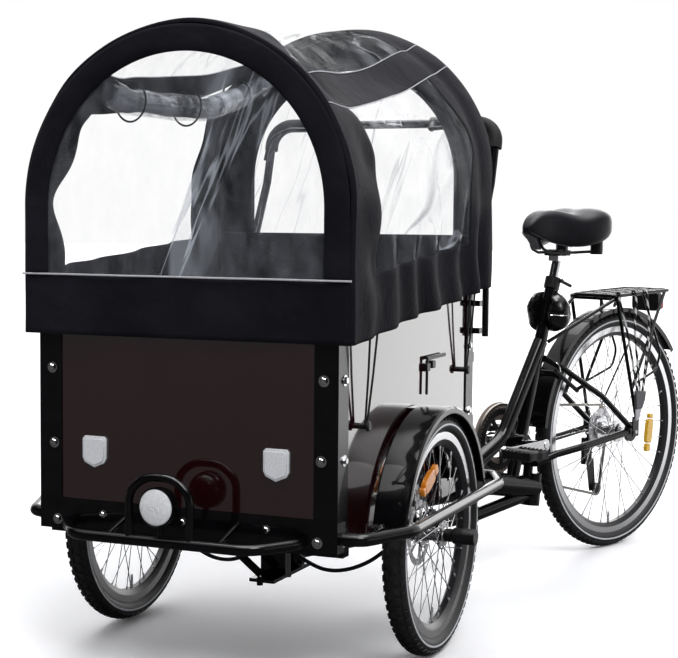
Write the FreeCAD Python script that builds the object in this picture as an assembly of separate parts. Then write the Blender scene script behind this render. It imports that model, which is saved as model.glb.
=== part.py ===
"""Front-loading cargo tricycle: a plywood box on two steered wheels, pivoted on a rear frame.

Millimetres. The box assembly is drawn square to the axes: +X is the rider's left, -Y is forward,
+Z is up. The rear frame is drawn in its own axes with the kingpin at its origin and is then turned
about the kingpin, so the tricycle stands with its steering turned. The finished parts are moved
together until the origin lies under the middle of their box, on the floor.
"""
import FreeCAD, Part
import math
import os

V = FreeCAD.Vector
X, Y, Z = V(1, 0, 0), V(0, 1, 0), V(0, 0, 1)

# ---- driving dimensions ----
STEER_DEG = 22.0            # how far the box is turned on the rear frame at rest
WHEELBASE = 1345.0          # front axle to rear axle, with the steering straight
KINGPIN_Y = 100.0           # kingpin behind the front axle
TRACK = 736.0               # between the front wheels' middle planes
FRONT_TYRE_R = 257.0
FRONT_TYRE_W = 50.0
REAR_TYRE_R = 333.0
REAR_TYRE_W = 48.0
TYRE_WALL = 42.0            # tyre height over the rim seat

BOX_W = 655.0
BOX_L = 825.0
BOX_FRONT_Y = -435.0
BOX_BOTTOM = 300.0
BOX_H_FRONT = 410.0
BOX_H_REAR = 470.0
PLY = 12.0
ANGLE_LEG = 50.0            # corner angle iron
ANGLE_T = 3.0
POST_DROP = 6.0             # posts reach below the floor

CANOPY_HALF = 360.0
CANOPY_FRONT_Y = -446.0
CANOPY_L = 872.0
CANOPY_BOTTOM = 690.0       # hem of the skirt at the front
CANOPY_STRAIGHT = 252.0     # hem up to where the arch begins
CANOPY_RISE = 78.0          # how much higher the rear hoop stands
SKIRT_H = 120.0
FABRIC = 3.0
FILM = 1.6                  # clear window sheet
FRONT_ARCH_BAND = 60.0      # black border of the front window
REAR_ARCH_BAND = 98.0
FRONT_BAND = 140.0          # side band behind the front hoop
REAR_BAND = 150.0
SHOULDER_LOW = 47.6         # the shoulder band spans these angles of the arch
SHOULDER_HIGH = 62.2
HOOP_TUBE = 16.0

TUBE = 25.0                 # guards, bumper and handlebar
FENDER_W = 72.0
FENDER_T = 2.5
FENDER_GAP = 14.0           # tyre to fender

BB_BACK = 812.0             # bottom bracket behind the kingpin
BB_H = 340.0
CRANK_L = 166.0
SEAT_TUBE_TOP = (955.0, 745.0)      # back from the kingpin, height
SADDLE_TOP = 954.0
RACK_H = 718.0              # deck height at its front
RACK_RISE = 9.0             # how much higher the deck's rear stands
RACK_FRONT = 1145.0
RACK_REAR = 1425.0
RACK_W = 150.0

MOVE_GAP = 5.0              # air between moving pieces
SHAFT_GAP = 0.06            # radial running clearance of shafts and pins
SOFT_GAP = 0.3              # soft pieces stay this far off others
SPOKE_D = 2.2
SPOKES = 36

# ---- derived ----
REAR_AXLE = WHEELBASE - KINGPIN_Y
WHEEL_X = TRACK / 2
BOX_REAR_Y = BOX_FRONT_Y + BOX_L
HALF_W = BOX_W / 2
BOX_SLOPE = (BOX_H_REAR - BOX_H_FRONT) / BOX_L
PANEL_X = HALF_W - ANGLE_T          # outer face of a side panel
SPRING_Z = CANOPY_BOTTOM + CANOPY_STRAIGHT
CANOPY_SHEAR = V(0, CANOPY_L, CANOPY_RISE)


# ---- helpers ----
def block(x0, x1, y0, y1, z0, z1):
    return Part.makeBox(x1 - x0, y1 - y0, z1 - z0, V(x0, y0, z0))


def rod(start, end, dia):
    """Round bar between two points."""
    a, b = V(*start), V(*end)
    return Part.makeCylinder(dia / 2, (b - a).Length, a, b - a)


def fuse(shapes):
    whole = shapes[0]
    for shape in shapes[1:]:
        whole = whole.fuse(shape)
    return whole.removeSplitter()


def path(points, radius):
    """Wire of straight runs joined by tangent arcs, each arc as large as asked or as its runs allow."""
    pts = [V(*p) for p in points]
    edges = []
    start = pts[0]
    for i in range(1, len(pts) - 1):
        into, out = (pts[i] - pts[i - 1]), (pts[i + 1] - pts[i])
        turn = into.getAngle(out)
        room = 0.45 * min(into.Length, out.Length)
        cut = min(radius * math.tan(turn / 2), room)
        into.normalize()
        out.normalize()
        first, last = pts[i] - into * cut, pts[i] + out * cut
        inward = out - into
        inward.normalize()
        bend_r = cut / math.tan(turn / 2)
        middle = pts[i] + inward * (bend_r / math.cos(turn / 2) - bend_r)
        edges.append(Part.LineSegment(start, first).toShape())
        edges.append(Part.Arc(first, middle, last).toShape())
        start = last
    edges.append(Part.LineSegment(start, pts[-1]).toShape())
    return Part.Wire(edges)


def bent_tube(points, dia, radius=60.0):
    """Round bar swept along straight runs with tangent bends."""
    spine = path(points, radius)
    along = V(*points[1]) - V(*points[0])
    ring = Part.Wire([Part.Circle(V(*points[0]), along, dia / 2).toShape()])
    return spine.makePipeShell([ring], True, False)


def mirror_x(shape):
    return shape.mirror(V(0, 0, 0), X)


def both_sides(shape):
    return Part.makeCompound([shape, mirror_x(shape)])


def revolve_x(profile, x, y, z, degrees=360.0):
    """Turn a closed outline of (across, radius) points about the X axis through (x, y, z)."""
    pts = [V(x + across, y, z + radius) for across, radius in profile]
    face = Part.Face(Part.makePolygon(pts + [pts[0]]))
    return face.revolve(V(x, y, z), X, degrees)


def rounded_pad(outline, x0, x1):
    """Extrude a closed outline of (y, z) points from x0 to x1."""
    pts = [V(x0, y, z) for y, z in outline]
    return Part.Face(Part.makePolygon(pts + [pts[0]])).extrude(V(x1 - x0, 0, 0))


# ---- wheels ----
def tyre(x, y, z, radius, width):
    """Solid tyre ring with a rounded crown and straight beads."""
    seat = radius - TYRE_WALL
    half, bead = width / 2, width * 0.30
    side_r = seat + TYRE_WALL * 0.48
    crown = radius - TYRE_WALL * 0.13
    a, b = V(x - bead, y, z + seat), V(x - half, y, z + side_r)
    c, e = V(x - half * 0.62, y, z + crown), V(x + half * 0.62, y, z + crown)
    g, h = V(x + half, y, z + side_r), V(x + bead, y, z + seat)
    edges = [
        Part.LineSegment(a, b).toShape(),
        Part.LineSegment(b, c).toShape(),
        Part.Arc(c, V(x, y, z + radius), e).toShape(),
        Part.LineSegment(e, g).toShape(),
        Part.LineSegment(g, h).toShape(),
        Part.LineSegment(h, a).toShape(),
    ]
    return Part.Face(Part.Wire(edges)).revolve(V(x, y, z), X, 360.0)


def spoke_set(x, y, z, hub_r, flange_x, rim_r, rim_dx):
    """Crossed spokes: the two sides of each flange lean opposite ways."""
    spokes = []
    per_side = SPOKES // 2
    for side in (-1, 1):
        for i in range(per_side):
            lean = 1 if i % 2 else -1
            rim_a = 2 * math.pi * (i + (0.5 if side > 0 else 0.0)) / per_side
            hub_a = rim_a + lean * math.radians(58.0)
            inset = 1.9 * lean
            foot = (x + side * flange_x + inset, y + hub_r * math.sin(hub_a), z + hub_r * math.cos(hub_a))
            head = (x + side * rim_dx + inset, y + rim_r * math.sin(rim_a), z + rim_r * math.cos(rim_a))
            spokes.append(rod(foot, head, SPOKE_D))
    return spokes


def spoked_rim(x, y, z, tyre_r, tyre_w, hub_half, hub_r, bore_r, depth, seat_gap=0.05):
    """Rim, spokes and hub shell as one laced wheel with a bore for its axle."""
    seat = tyre_r - TYRE_WALL - seat_gap
    half = tyre_w * 0.30
    rim = revolve_x([(-half, seat), (-half, seat - depth * 0.35), (-half * 0.45, seat - depth),
                     (half * 0.45, seat - depth), (half, seat - depth * 0.35), (half, seat)], x, y, z)
    barrel = revolve_x([(-hub_half, bore_r), (-hub_half, hub_r), (hub_half, hub_r), (hub_half, bore_r)],
                       x, y, z)
    flange_r, flange_t = hub_r + 14.0, 5.0
    flange_x = hub_half - 7.0
    flanges = [revolve_x([(s * flange_x - flange_t / 2, bore_r), (s * flange_x - flange_t / 2, flange_r),
                          (s * flange_x + flange_t / 2, flange_r), (s * flange_x + flange_t / 2, bore_r)],
                         x, y, z) for s in (-1, 1)]
    spokes = spoke_set(x, y, z, flange_r - 3.0, flange_x, seat - depth + 4.0, 3.5)
    return rim.multiFuse([barrel] + flanges + spokes)


FRONT_AXLE_R = 8.0
FRONT_HUB_R = 17.0
FRONT_HUB_HALF = 28.0
DISC_R = 70.0
DISC_T = 2.0
DISC_X = 31.5               # disc plane inboard of the wheel plane


def front_rim(side):
    """Front wheel without its tyre, with the brake disc on the inboard end of its hub."""
    wheel = spoked_rim(side * WHEEL_X, 0, FRONT_TYRE_R, FRONT_TYRE_R, FRONT_TYRE_W, FRONT_HUB_HALF,
                       FRONT_HUB_R, FRONT_AXLE_R + SHAFT_GAP, 26.0)
    return wheel.fuse(front_disc(side))


def front_disc(side):
    """Brake disc with ten round holes, seated on the inboard end of the hub."""
    inner = side * (WHEEL_X - DISC_X)
    x = inner - DISC_T / 2
    disc = Part.makeCylinder(DISC_R, DISC_T, V(x, 0, FRONT_TYRE_R), X)
    cuts = [Part.makeCylinder(FRONT_AXLE_R + SHAFT_GAP + 2.0, DISC_T, V(x, 0, FRONT_TYRE_R), X)]
    holes = 10
    for i in range(holes):
        a = 2 * math.pi * i / holes
        for ring_r, hole_r in ((DISC_R - 9.0, 3.5), (DISC_R * 0.52, 9.5)):
            cuts.append(Part.makeCylinder(hole_r, DISC_T, V(x, ring_r * math.sin(a),
                                                           FRONT_TYRE_R + ring_r * math.cos(a)), X))
    disc = disc.cut(Part.makeCompound(cuts))
    web_start = inner + side * DISC_T / 2
    web_len = DISC_X - DISC_T / 2 - FRONT_HUB_HALF
    start = web_start if side > 0 else web_start - web_len
    spacer = Part.makeCylinder(FRONT_HUB_R, web_len, V(start, 0, FRONT_TYRE_R), X)
    spacer = spacer.cut(Part.makeCylinder(FRONT_AXLE_R + SHAFT_GAP + 2.0, web_len,
                                          V(start, 0, FRONT_TYRE_R), X))
    return fuse([disc, spacer])


# ---- box ----
def box_top(y, lift=0.0):
    """Height of the box's sloping top edge at a station."""
    return BOX_BOTTOM + BOX_H_FRONT + BOX_SLOPE * (y - BOX_FRONT_Y) + lift


def side_panel():
    y0, y1 = BOX_FRONT_Y + ANGLE_T, BOX_REAR_Y - ANGLE_T
    outline = [(y0, BOX_BOTTOM), (y1, BOX_BOTTOM), (y1, box_top(y1)), (y0, box_top(y0))]
    return rounded_pad(outline, PANEL_X - PLY, PANEL_X)


def end_panel(y0, y1, top):
    half = PANEL_X - PLY
    return block(-half, half, y0, y1, BOX_BOTTOM, top)


def end_panels():
    y0, y1 = BOX_FRONT_Y + ANGLE_T, BOX_REAR_Y - ANGLE_T
    return Part.makeCompound([end_panel(y0, y0 + PLY, box_top(y0)),
                              end_panel(y1 - PLY, y1, box_top(y1 - PLY))])


def floor_panel():
    half = PANEL_X - PLY
    y0, y1 = BOX_FRONT_Y + ANGLE_T + PLY, BOX_REAR_Y - ANGLE_T - PLY
    return block(-half, half, y0, y1, BOX_BOTTOM, BOX_BOTTOM + PLY)


RAIL_H = 57.0               # skirting rail between two posts


def box_frame():
    """Front and rear end frames: two angle irons each, open towards the box, and a skirting rail."""
    ends = []
    for end_y, inward in ((BOX_FRONT_Y, 1), (BOX_REAR_Y, -1)):
        far_y = end_y + inward * ANGLE_LEG
        y0, y1 = min(end_y, far_y), max(end_y, far_y)
        thin0, thin1 = sorted((end_y, end_y + inward * ANGLE_T))
        z0, z1 = BOX_BOTTOM - POST_DROP, box_top(y0) - 4.0
        pieces = [block(-HALF_W, HALF_W, thin0, thin1, BOX_BOTTOM, BOX_BOTTOM + RAIL_H)]
        for s in (-1, 1):
            side0, side1 = sorted((s * (HALF_W - ANGLE_T), s * HALF_W))
            leg0, leg1 = sorted((s * (HALF_W - ANGLE_LEG), s * HALF_W))
            pieces.append(block(side0, side1, y0, y1, z0, z1))
            pieces.append(block(leg0, leg1, thin0, thin1, z0, z1))
        ends.append(fuse(pieces))
    return Part.makeCompound(ends)


BEARER = 20.0               # depth of the bearers under the floor
PIN_R = 9.0
HEAD_R = 24.0
HEAD_TOP = BOX_BOTTOM - BEARER - 1.0
HEAD_BOTTOM = 140.0
PLATE_T = 8.0
AXLE_BEAM = 36.0


def under_frame():
    """Bearers, pivot plates, axle beam and the two sloping struts to the lower pivot plate."""
    z0 = BOX_BOTTOM - BEARER
    rails = [block(s * 150.0 - 12.0, s * 150.0 + 12.0, BOX_FRONT_Y + ANGLE_LEG, BOX_REAR_Y - ANGLE_LEG,
                   z0, BOX_BOTTOM) for s in (-1, 1)]
    cross = [block(-PANEL_X, PANEL_X, y - 15.0, y + 15.0, z0, BOX_BOTTOM)
             for y in (BOX_FRONT_Y + ANGLE_LEG, 0.0, BOX_REAR_Y - ANGLE_LEG)]
    top_plate = block(-150.0, 150.0, -15.0, KINGPIN_Y + 45.0, z0, BOX_BOTTOM)
    beam_half = WHEEL_X - DISC_X - DISC_T - 12.0
    beam_z = FRONT_TYRE_R
    beam = block(-beam_half, beam_half, -AXLE_BEAM / 2, AXLE_BEAM / 2, beam_z - AXLE_BEAM / 2, z0)
    low_z = HEAD_BOTTOM - 1.0 - PLATE_T
    low_plate = block(-30.0, 30.0, -75.0, KINGPIN_Y + 28.0, low_z, low_z + PLATE_T)
    web = block(-30.0, 30.0, -16.0, 14.0, low_z, beam_z)
    struts = []
    for y in (-58.0, 40.0):
        struts.append(rod((-10.0, y, low_z + PLATE_T + 6.0), (-188.0, y, z0 + 4.0), 18.0))
    pin = rod((0, KINGPIN_Y, low_z), (0, KINGPIN_Y, BOX_BOTTOM), 2 * PIN_R)
    bolts = [rod((x, y, low_z - 10.0), (x, y, low_z), 14.0) for x, y in
             ((-12.0, -58.0), (12.0, 40.0), (-14.0, 40.0))]
    return fuse(rails + cross + [top_plate, beam, low_plate, web, pin] + struts + bolts)


def front_spindles():
    """Stub axles that carry the front wheels, with their end caps."""
    inner = WHEEL_X - DISC_X - DISC_T - 12.0
    out = WHEEL_X + FRONT_HUB_HALF + 1.0
    z = FRONT_TYRE_R
    shaft = rod((inner, 0, z), (WHEEL_X + 92.0, 0, z), 2 * FRONT_AXLE_R)
    collar = rod((inner, 0, z), (WHEEL_X - DISC_X - DISC_T / 2 - 1.0, 0, z), 30.0)
    nut = rod((out, 0, z), (out + 14.0, 0, z), 28.0)
    cap = rod((out + 18.0, 0, z), (WHEEL_X + 95.0, 0, z), 34.0)
    return both_sides(fuse([shaft, collar, nut, cap]))


def brake_calipers():
    """One caliper over the rear of each disc, on a bracket from the axle beam."""
    disc_x = WHEEL_X - DISC_X
    y, z = DISC_R - 6.0, FRONT_TYRE_R + 14.0
    inner = block(PANEL_X + 4.2, disc_x - DISC_T / 2 - 1.2, y - 22.0, y + 24.0, z - 22.0, z + 22.0)
    outer = block(disc_x + DISC_T / 2 + 1.2, disc_x + DISC_T / 2 + 6.2, y - 22.0, y + 24.0,
                  z - 22.0, z + 22.0)
    bridge = block(PANEL_X + 4.2, disc_x + DISC_T / 2 + 6.2, DISC_R + 4.0, DISC_R + 18.0,
                   z - 22.0, z + 22.0)
    arm_in = WHEEL_X - DISC_X - DISC_T - 16.0
    arm = block(arm_in - 6.0, arm_in, AXLE_BEAM / 2, y + 24.0, FRONT_TYRE_R - 14.0, BOX_BOTTOM - BEARER - 2.0)
    foot = block(arm_in - 6.0, disc_x - DISC_T / 2 - 1.2, DISC_R + 4.0, y + 24.0,
                 FRONT_TYRE_R - 8.0, BOX_BOTTOM - BEARER - 2.0)
    return both_sides(fuse([inner, outer, bridge, arm, foot]))


# ---- guards, bumper and fenders ----
GUARD_X = 420.0             # middle line of the side guard
GUARD_Z = 318.0
BUMPER_Y = -530.0
BUMPER_Z = 308.0


def side_guards():
    """Loop tube round each front wheel from the front post to the rear post."""
    x0 = HALF_W - 2.0
    front_y, rear_y = BOX_FRONT_Y + 30.0, BOX_REAR_Y - 10.0
    loop = bent_tube([(x0, front_y, GUARD_Z), (x0 + 40.0, front_y + 6.0, GUARD_Z),
                      (GUARD_X, front_y + 130.0, GUARD_Z), (GUARD_X, rear_y - 70.0, GUARD_Z + 4.0),
                      (GUARD_X - 42.0, rear_y + 30.0, GUARD_Z + 4.0), (x0, rear_y + 18.0, GUARD_Z + 4.0)],
                     TUBE, 55.0)
    loop = loop.cut(block(-HALF_W, HALF_W, BOX_FRONT_Y, BOX_REAR_Y, 0, 1000.0))
    return both_sides(loop)


def bumper():
    """Bent bumper bar on the front posts with the lamp hoop on top of it."""
    post_y = BOX_FRONT_Y
    half, end = 170.0, 252.0
    bar = bent_tube([(-end, post_y, BUMPER_Z + 4), (-end, post_y - 22, BUMPER_Z + 4),
                     (-half - 20, BUMPER_Y, BUMPER_Z), (half + 20, BUMPER_Y, BUMPER_Z),
                     (end, post_y - 22, BUMPER_Z + 4), (end, post_y, BUMPER_Z + 4)], TUBE - 3, 60.0)
    leg, top = 66.0, 432.0
    hoop = bent_tube([(-leg, BUMPER_Y, BUMPER_Z), (-leg, BUMPER_Y, top - 30),
                      (-leg + 36, BUMPER_Y, top), (leg - 36, BUMPER_Y, top),
                      (leg, BUMPER_Y, top - 30), (leg, BUMPER_Y, BUMPER_Z)], 16.0, 60.0)
    stays = [rod((s * 120.0, post_y, BUMPER_Z + 28), (s * 120.0, BUMPER_Y, BUMPER_Z), 10.0)
             for s in (-1, 1)]
    return fuse([bar, hoop] + stays).cut(block(-HALF_W, HALF_W, BOX_FRONT_Y, 0, 0, 1000.0))


LAMP_R = 38.0
LAMP_Z = 377.0


def headlight():
    """Round lamp bowl on a bracket between the hoop's legs."""
    front = BUMPER_Y - 12.0
    bowl = Part.makeCone(LAMP_R, 22.0, 46.0, V(0, front, LAMP_Z), Y)
    lens = Part.makeCylinder(LAMP_R - 2.0, 4.0, V(0, front - 4.0, LAMP_Z), Y)
    stem = rod((0, BUMPER_Y + 4.0, LAMP_Z - 28.0), (0, BUMPER_Y + 4.0, BUMPER_Z + TUBE / 2 - 1.6), 12.0)
    return fuse([bowl, lens, stem])


def arc_fender(x, y, z, inner_r, width, lip, start_deg, end_deg):
    """Channel-section fender; angles run from the rear horizontal over the top to the front."""
    half, t = width / 2, FENDER_T
    outline = [(-half, inner_r - lip), (-half + t, inner_r - lip), (-half + t, inner_r),
               (half - t, inner_r), (half - t, inner_r - lip), (half, inner_r - lip),
               (half, inner_r + t), (-half, inner_r + t)]
    pts = [V(x + a, y, z + r) for a, r in outline]
    face = Part.Face(Part.makePolygon(pts + [pts[0]]))
    face.rotate(V(x, y, z), X, start_deg - 90.0)
    return face.revolve(V(x, y, z), X, end_deg - start_deg)


def front_fenders():
    """Deep fenders over the front wheels, screwed to the side panels and hooked over the guards."""
    inner = FRONT_TYRE_R + FENDER_GAP
    x = HALF_W + 0.5 + FENDER_W / 2 + 3.0
    arch = arc_fender(x, 0, FRONT_TYRE_R, inner, FENDER_W, 12.0, 16.0, 166.0)
    tab = block(PANEL_X, x - FENDER_W / 2 + FENDER_T, -30.0, 30.0, FRONT_TYRE_R + inner - 10.0,
                FRONT_TYRE_R + inner + FENDER_T)
    return both_sides(fuse([arch, tab]))


# ---- canopy ----
def arch_face(inset, y, bottom):
    """Door-shaped face: straight sides under a half circle, across the box."""
    half = CANOPY_HALF - inset
    left, right = V(-half, y, SPRING_Z), V(half, y, SPRING_Z)
    edges = [
        Part.LineSegment(V(-half, y, bottom), left).toShape(),
        Part.Arc(left, V(0, y, SPRING_Z + half), right).toShape(),
        Part.LineSegment(right, V(half, y, bottom)).toShape(),
        Part.LineSegment(V(half, y, bottom), V(-half, y, bottom)).toShape(),
    ]
    return Part.Face(Part.Wire(edges))


def sheared(face, start, length):
    """Extrude a face along the canopy's rising length, from one station to another."""
    step = CANOPY_SHEAR * (1.0 / CANOPY_L)
    moved = face.copy()
    moved.translate(step * start)
    return moved.extrude(step * length)


def tunnel(outer_inset, inner_inset, start, length, bottom):
    outer = sheared(arch_face(outer_inset, CANOPY_FRONT_Y, bottom), start, length)
    inner = sheared(arch_face(inner_inset, CANOPY_FRONT_Y, bottom - 50.0), start - 1.0, length + 2.0)
    return outer.cut(inner)


def wedge(low_deg, high_deg, start, length):
    """Sector of the arch between two angles, used to cut windows out of the tunnel."""
    far = CANOPY_HALF * 2.0
    a, b = math.radians(low_deg), math.radians(high_deg)
    y = CANOPY_FRONT_Y
    pts = [V(0, y, SPRING_Z), V(far * math.cos(a), y, SPRING_Z + far * math.sin(a)),
           V(far * math.cos(b), y, SPRING_Z + far * math.sin(b))]
    return sheared(Part.Face(Part.makePolygon(pts + [pts[0]])), start, length)


WINDOW_L = CANOPY_L - FRONT_BAND - REAR_BAND
SILL_Z = CANOPY_BOTTOM + SKIRT_H


def side_opening(side):
    """Prism through one side window, from the sill up to the shoulder band."""
    y = CANOPY_FRONT_Y
    a = math.radians(SHOULDER_LOW)
    reach = CANOPY_HALF * 1.5
    pts = [V(side * 150.0, y, SILL_Z), V(side * reach, y, SILL_Z), V(side * reach, y, SPRING_Z),
           V(side * reach, y, SPRING_Z + reach * math.tan(a)), V(side * 150.0, y, SPRING_Z + 150.0 * math.tan(a))]
    return sheared(Part.Face(Part.makePolygon(pts + [pts[0]])), FRONT_BAND, WINDOW_L)


def roof_opening():
    return wedge(SHOULDER_HIGH, 180.0 - SHOULDER_HIGH, FRONT_BAND * 0.45, CANOPY_L - FRONT_BAND * 0.9)


def canopy_cover():
    """Black tunnel of the canopy with its roof window and both side windows cut."""
    shell = tunnel(0.0, FABRIC, FABRIC, CANOPY_L - 2 * FABRIC, CANOPY_BOTTOM)
    return shell.cut(Part.makeCompound([side_opening(1), side_opening(-1), roof_opening()]))


def end_window(band):
    """Outline of an end window inside a border of that width."""
    return arch_face(band, CANOPY_FRONT_Y, SILL_Z)


def canopy_end(start, band):
    """End wall of the canopy with its window cut out."""
    wall = sheared(arch_face(0.0, CANOPY_FRONT_Y, CANOPY_BOTTOM), start, FABRIC)
    return wall.cut(sheared(end_window(band), start - 1.0, FABRIC + 2.0))


def end_film(start, band):
    return sheared(end_window(band), start + (FABRIC - FILM) / 2, FILM)


def side_film():
    """Clear sheet that closes the left side window, flush in its opening."""
    inset = (FABRIC - FILM) / 2
    sheet = tunnel(inset, inset + FILM, FRONT_BAND, WINDOW_L, CANOPY_BOTTOM)
    return sheet.common(side_opening(1))


def roof_film():
    inset = (FABRIC - FILM) / 2
    sheet = tunnel(inset, inset + FILM, FABRIC, CANOPY_L - 2 * FABRIC, CANOPY_BOTTOM)
    return sheet.common(roof_opening())


ROLL_R = 34.0


def rolled_window():
    """The right side window, rolled up under the shoulder band and tied."""
    a = math.radians(SHOULDER_LOW + 3.0)
    ring = CANOPY_HALF - FABRIC - ROLL_R - SOFT_GAP
    x, z = -ring * math.cos(a), SPRING_Z + ring * math.sin(a)
    step = CANOPY_SHEAR * (1.0 / CANOPY_L)
    start = V(x, CANOPY_FRONT_Y, z) + step * 60.0
    return Part.makeCylinder(ROLL_R, (step * (CANOPY_L - 130.0)).Length, start, CANOPY_SHEAR)


FRONT_FOOT = CANOPY_BOTTOM + 1.0            # hidden by the hem
REAR_FOOT = BOX_BOTTOM + BOX_H_REAR - 120.0


def canopy_hoops():
    """Bent tubes inside the two ends, standing in sockets on the box posts."""
    inset = FABRIC + SOFT_GAP + HOOP_TUBE / 2
    half = CANOPY_HALF - inset
    hoops = []
    near = FABRIC + SOFT_GAP + HOOP_TUBE / 2
    for y, foot, steps in ((CANOPY_FRONT_Y + near, FRONT_FOOT, (7.0,)),
                           (CANOPY_FRONT_Y + CANOPY_L - near, REAR_FOOT, (16.0, 80.0))):
        share = (y - CANOPY_FRONT_Y) * CANOPY_RISE / CANOPY_L
        spring = SPRING_Z + share
        spine = Part.Wire([
            Part.LineSegment(V(-half, y, foot), V(-half, y, spring)).toShape(),
            Part.Arc(V(-half, y, spring), V(0, y, spring + half), V(half, y, spring)).toShape(),
            Part.LineSegment(V(half, y, spring), V(half, y, foot)).toShape(),
        ])
        ring = Part.Wire([Part.Circle(V(-half, y, foot), Z, HOOP_TUBE / 2).toShape()])
        hoop = spine.makePipeShell([ring], True, False)
        inner_y = min(max(y, BOX_FRONT_Y + 12.0), BOX_REAR_Y - 12.0)
        y0, y1 = min(y, inner_y) - HOOP_TUBE / 2, max(y, inner_y) + HOOP_TUBE / 2
        sockets = [block(min(s * HALF_W, s * half), max(s * HALF_W, s * half), y0, y1, z - 7.0, z + 7.0)
                   for s in (-1, 1) for z in (foot + step for step in steps)]
        hoops.append(fuse([hoop] + sockets))
    return Part.makeCompound(hoops)


# ---- handlebar ----
HANDLE_X = 300.0
HANDLE_CORNER = (636.0, 1165.0)     # station and height of the crossbar
HANDLE_D = 22.0
HANDLE_BEND = 52.0
GRIP_D = 34.0
GRIP_FOOT = 14.0            # grip below its corner
GRIP_REACH = 70.0           # grip along the crossbar
CLAMP_H = 24.0


def handle_path():
    base_y = BOX_REAR_Y + HANDLE_D / 2 + 1.5
    top_y, top_z = HANDLE_CORNER
    left = [(HANDLE_X, base_y, BOX_BOTTOM + 110.0), (HANDLE_X, base_y, BOX_BOTTOM + 370.0),
            (HANDLE_X + 4.0, top_y - 46.0, top_z - 150.0), (HANDLE_X + 5.0, top_y, top_z)]
    return path(left + [(-x, y, z) for x, y, z in reversed(left)], HANDLE_BEND)


def swept_ring(spine, dia):
    """Round bar along a wire that starts with its first edge."""
    first = spine.Edges[0]
    start = first.valueAt(first.FirstParameter)
    ring = Part.Wire([Part.Circle(start, first.tangentAt(first.FirstParameter), dia / 2).toShape()])
    return spine.makePipeShell([ring], True, False)


def handlebar():
    """Inverted U of tube that leans towards the rider, with four clamps on the back of the box."""
    tube = swept_ring(handle_path(), HANDLE_D)
    clamps = [block(s * HANDLE_X - 20.0, s * HANDLE_X + 20.0, BOX_REAR_Y, BOX_REAR_Y + HANDLE_D + 10.0,
                    z - CLAMP_H / 2, z + CLAMP_H / 2)
              for s in (-1, 1) for z in (BOX_BOTTOM + 150.0, BOX_BOTTOM + 300.0)]
    return fuse([tube] + clamps)


def grips():
    """Sleeves over the two corners of the handlebar."""
    corner = handle_path().Edges[5]
    first, last = corner.FirstParameter, corner.LastParameter
    foot, reach = corner.tangentAt(first) * -GRIP_FOOT, corner.tangentAt(last) * GRIP_REACH

    def bar(dia):
        low, high = corner.valueAt(first), corner.valueAt(last)
        return fuse([swept_ring(Part.Wire([corner]), dia), rod(tuple(low), tuple(low + foot), dia),
                     rod(tuple(high), tuple(high + reach), dia)])

    return both_sides(bar(GRIP_D).cut(bar(HANDLE_D + 0.1)))


def brake_levers():
    """Clamp, bracket and blade beside each grip."""
    top_y, top_z = HANDLE_CORNER
    x = HANDLE_X - 160.0
    ring = rod((x - 9.0, top_y, top_z), (x + 9.0, top_y, top_z), HANDLE_D + 12.0)
    ring = ring.cut(rod((x - 10.0, top_y, top_z), (x + 10.0, top_y, top_z), HANDLE_D))
    arm = rod((x, top_y - HANDLE_D / 2 - 4.0, top_z), (x + 8.0, top_y - 46.0, top_z - 16.0), 14.0)
    blade = bent_tube([(x, top_y - 44.0, top_z - 14.0), (x + 100.0, top_y - 52.0, top_z - 12.0),
                       (HANDLE_X - 8.0, top_y - 56.0, top_z - 36.0),
                       (HANDLE_X + 2.0, top_y - 62.0, top_z - 92.0)], 10.0, 60.0)
    return both_sides(fuse([ring, arm, blade]))


def brake_hoses():
    """Hoses that sag from the pivot bracket to the two calipers."""
    arm_x = WHEEL_X - DISC_X - DISC_T - 16.0 - 6.0
    hose = bent_tube([(30.0, 0, 196.0), (85.0, 0, 160.0), (150.0, 2.0, 152.0), (220.0, 14.0, 178.0),
                      (270.0, 36.0, 226.0), (arm_x, 56.0, 262.0)], 12.0, 120.0)
    ends = [block(arm_x, arm_x + 40.0, 0, 100.0, 200.0, 300.0), block(0, 30.0, -20.0, 20.0, 100.0, 250.0)]
    return both_sides(hose.cut(Part.makeCompound(ends)))


def canopy_straps():
    """Elastic loops from the skirt's hem to a knob on each side panel."""
    loops = []
    for y in (-322.0, 301.0):
        hem = CANOPY_BOTTOM + CANOPY_RISE * (y - CANOPY_FRONT_Y) / CANOPY_L
        x, knob_z = HALF_W + 11.0, hem - 176.0
        knob = fuse([rod((PANEL_X, y, knob_z), (x + 8.0, y, knob_z), 12.0),
                     rod((x + 4.0, y, knob_z), (x + 9.0, y, knob_z), 20.0)])
        cords = [rod((CANOPY_HALF - FABRIC - SOFT_GAP - 3.0, y + dy, hem + 14.0),
                     (x, y + dy * 0.25, knob_z + 4.0), 5.0) for dy in (-20.0, 20.0)]
        loops.append(fuse([knob] + cords))
    return both_sides(Part.makeCompound(loops))


# ---- rear frame (kingpin at the origin, +X left, +Y back) ----
MAIN_TUBE = 60.0
MAIN_Z = 240.0
MAIN_END = (889.0, 208.0)
LOW_TUBE = 34.0
SWEPT_TUBE = 38.0
LOW_Z = 164.0
STAY = 20.0
STAY_TOP = 556.0            # height of the seat stays' upper end
STAY_FOOT = (868.0, 278.0)  # front end of the chain stays
DROPOUT_X = 68.0


def seat_line(z):
    """Station of the seat tube's middle line at a height."""
    top_y, top_z = SEAT_TUBE_TOP
    return top_y - (top_z - z) * 0.3127


def head_tube():
    outer = rod((0, 0, HEAD_BOTTOM), (0, 0, HEAD_TOP), 2 * HEAD_R)
    bore = rod((0, 0, HEAD_BOTTOM), (0, 0, HEAD_TOP), 2 * (PIN_R + SHAFT_GAP))
    return outer, bore


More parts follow.
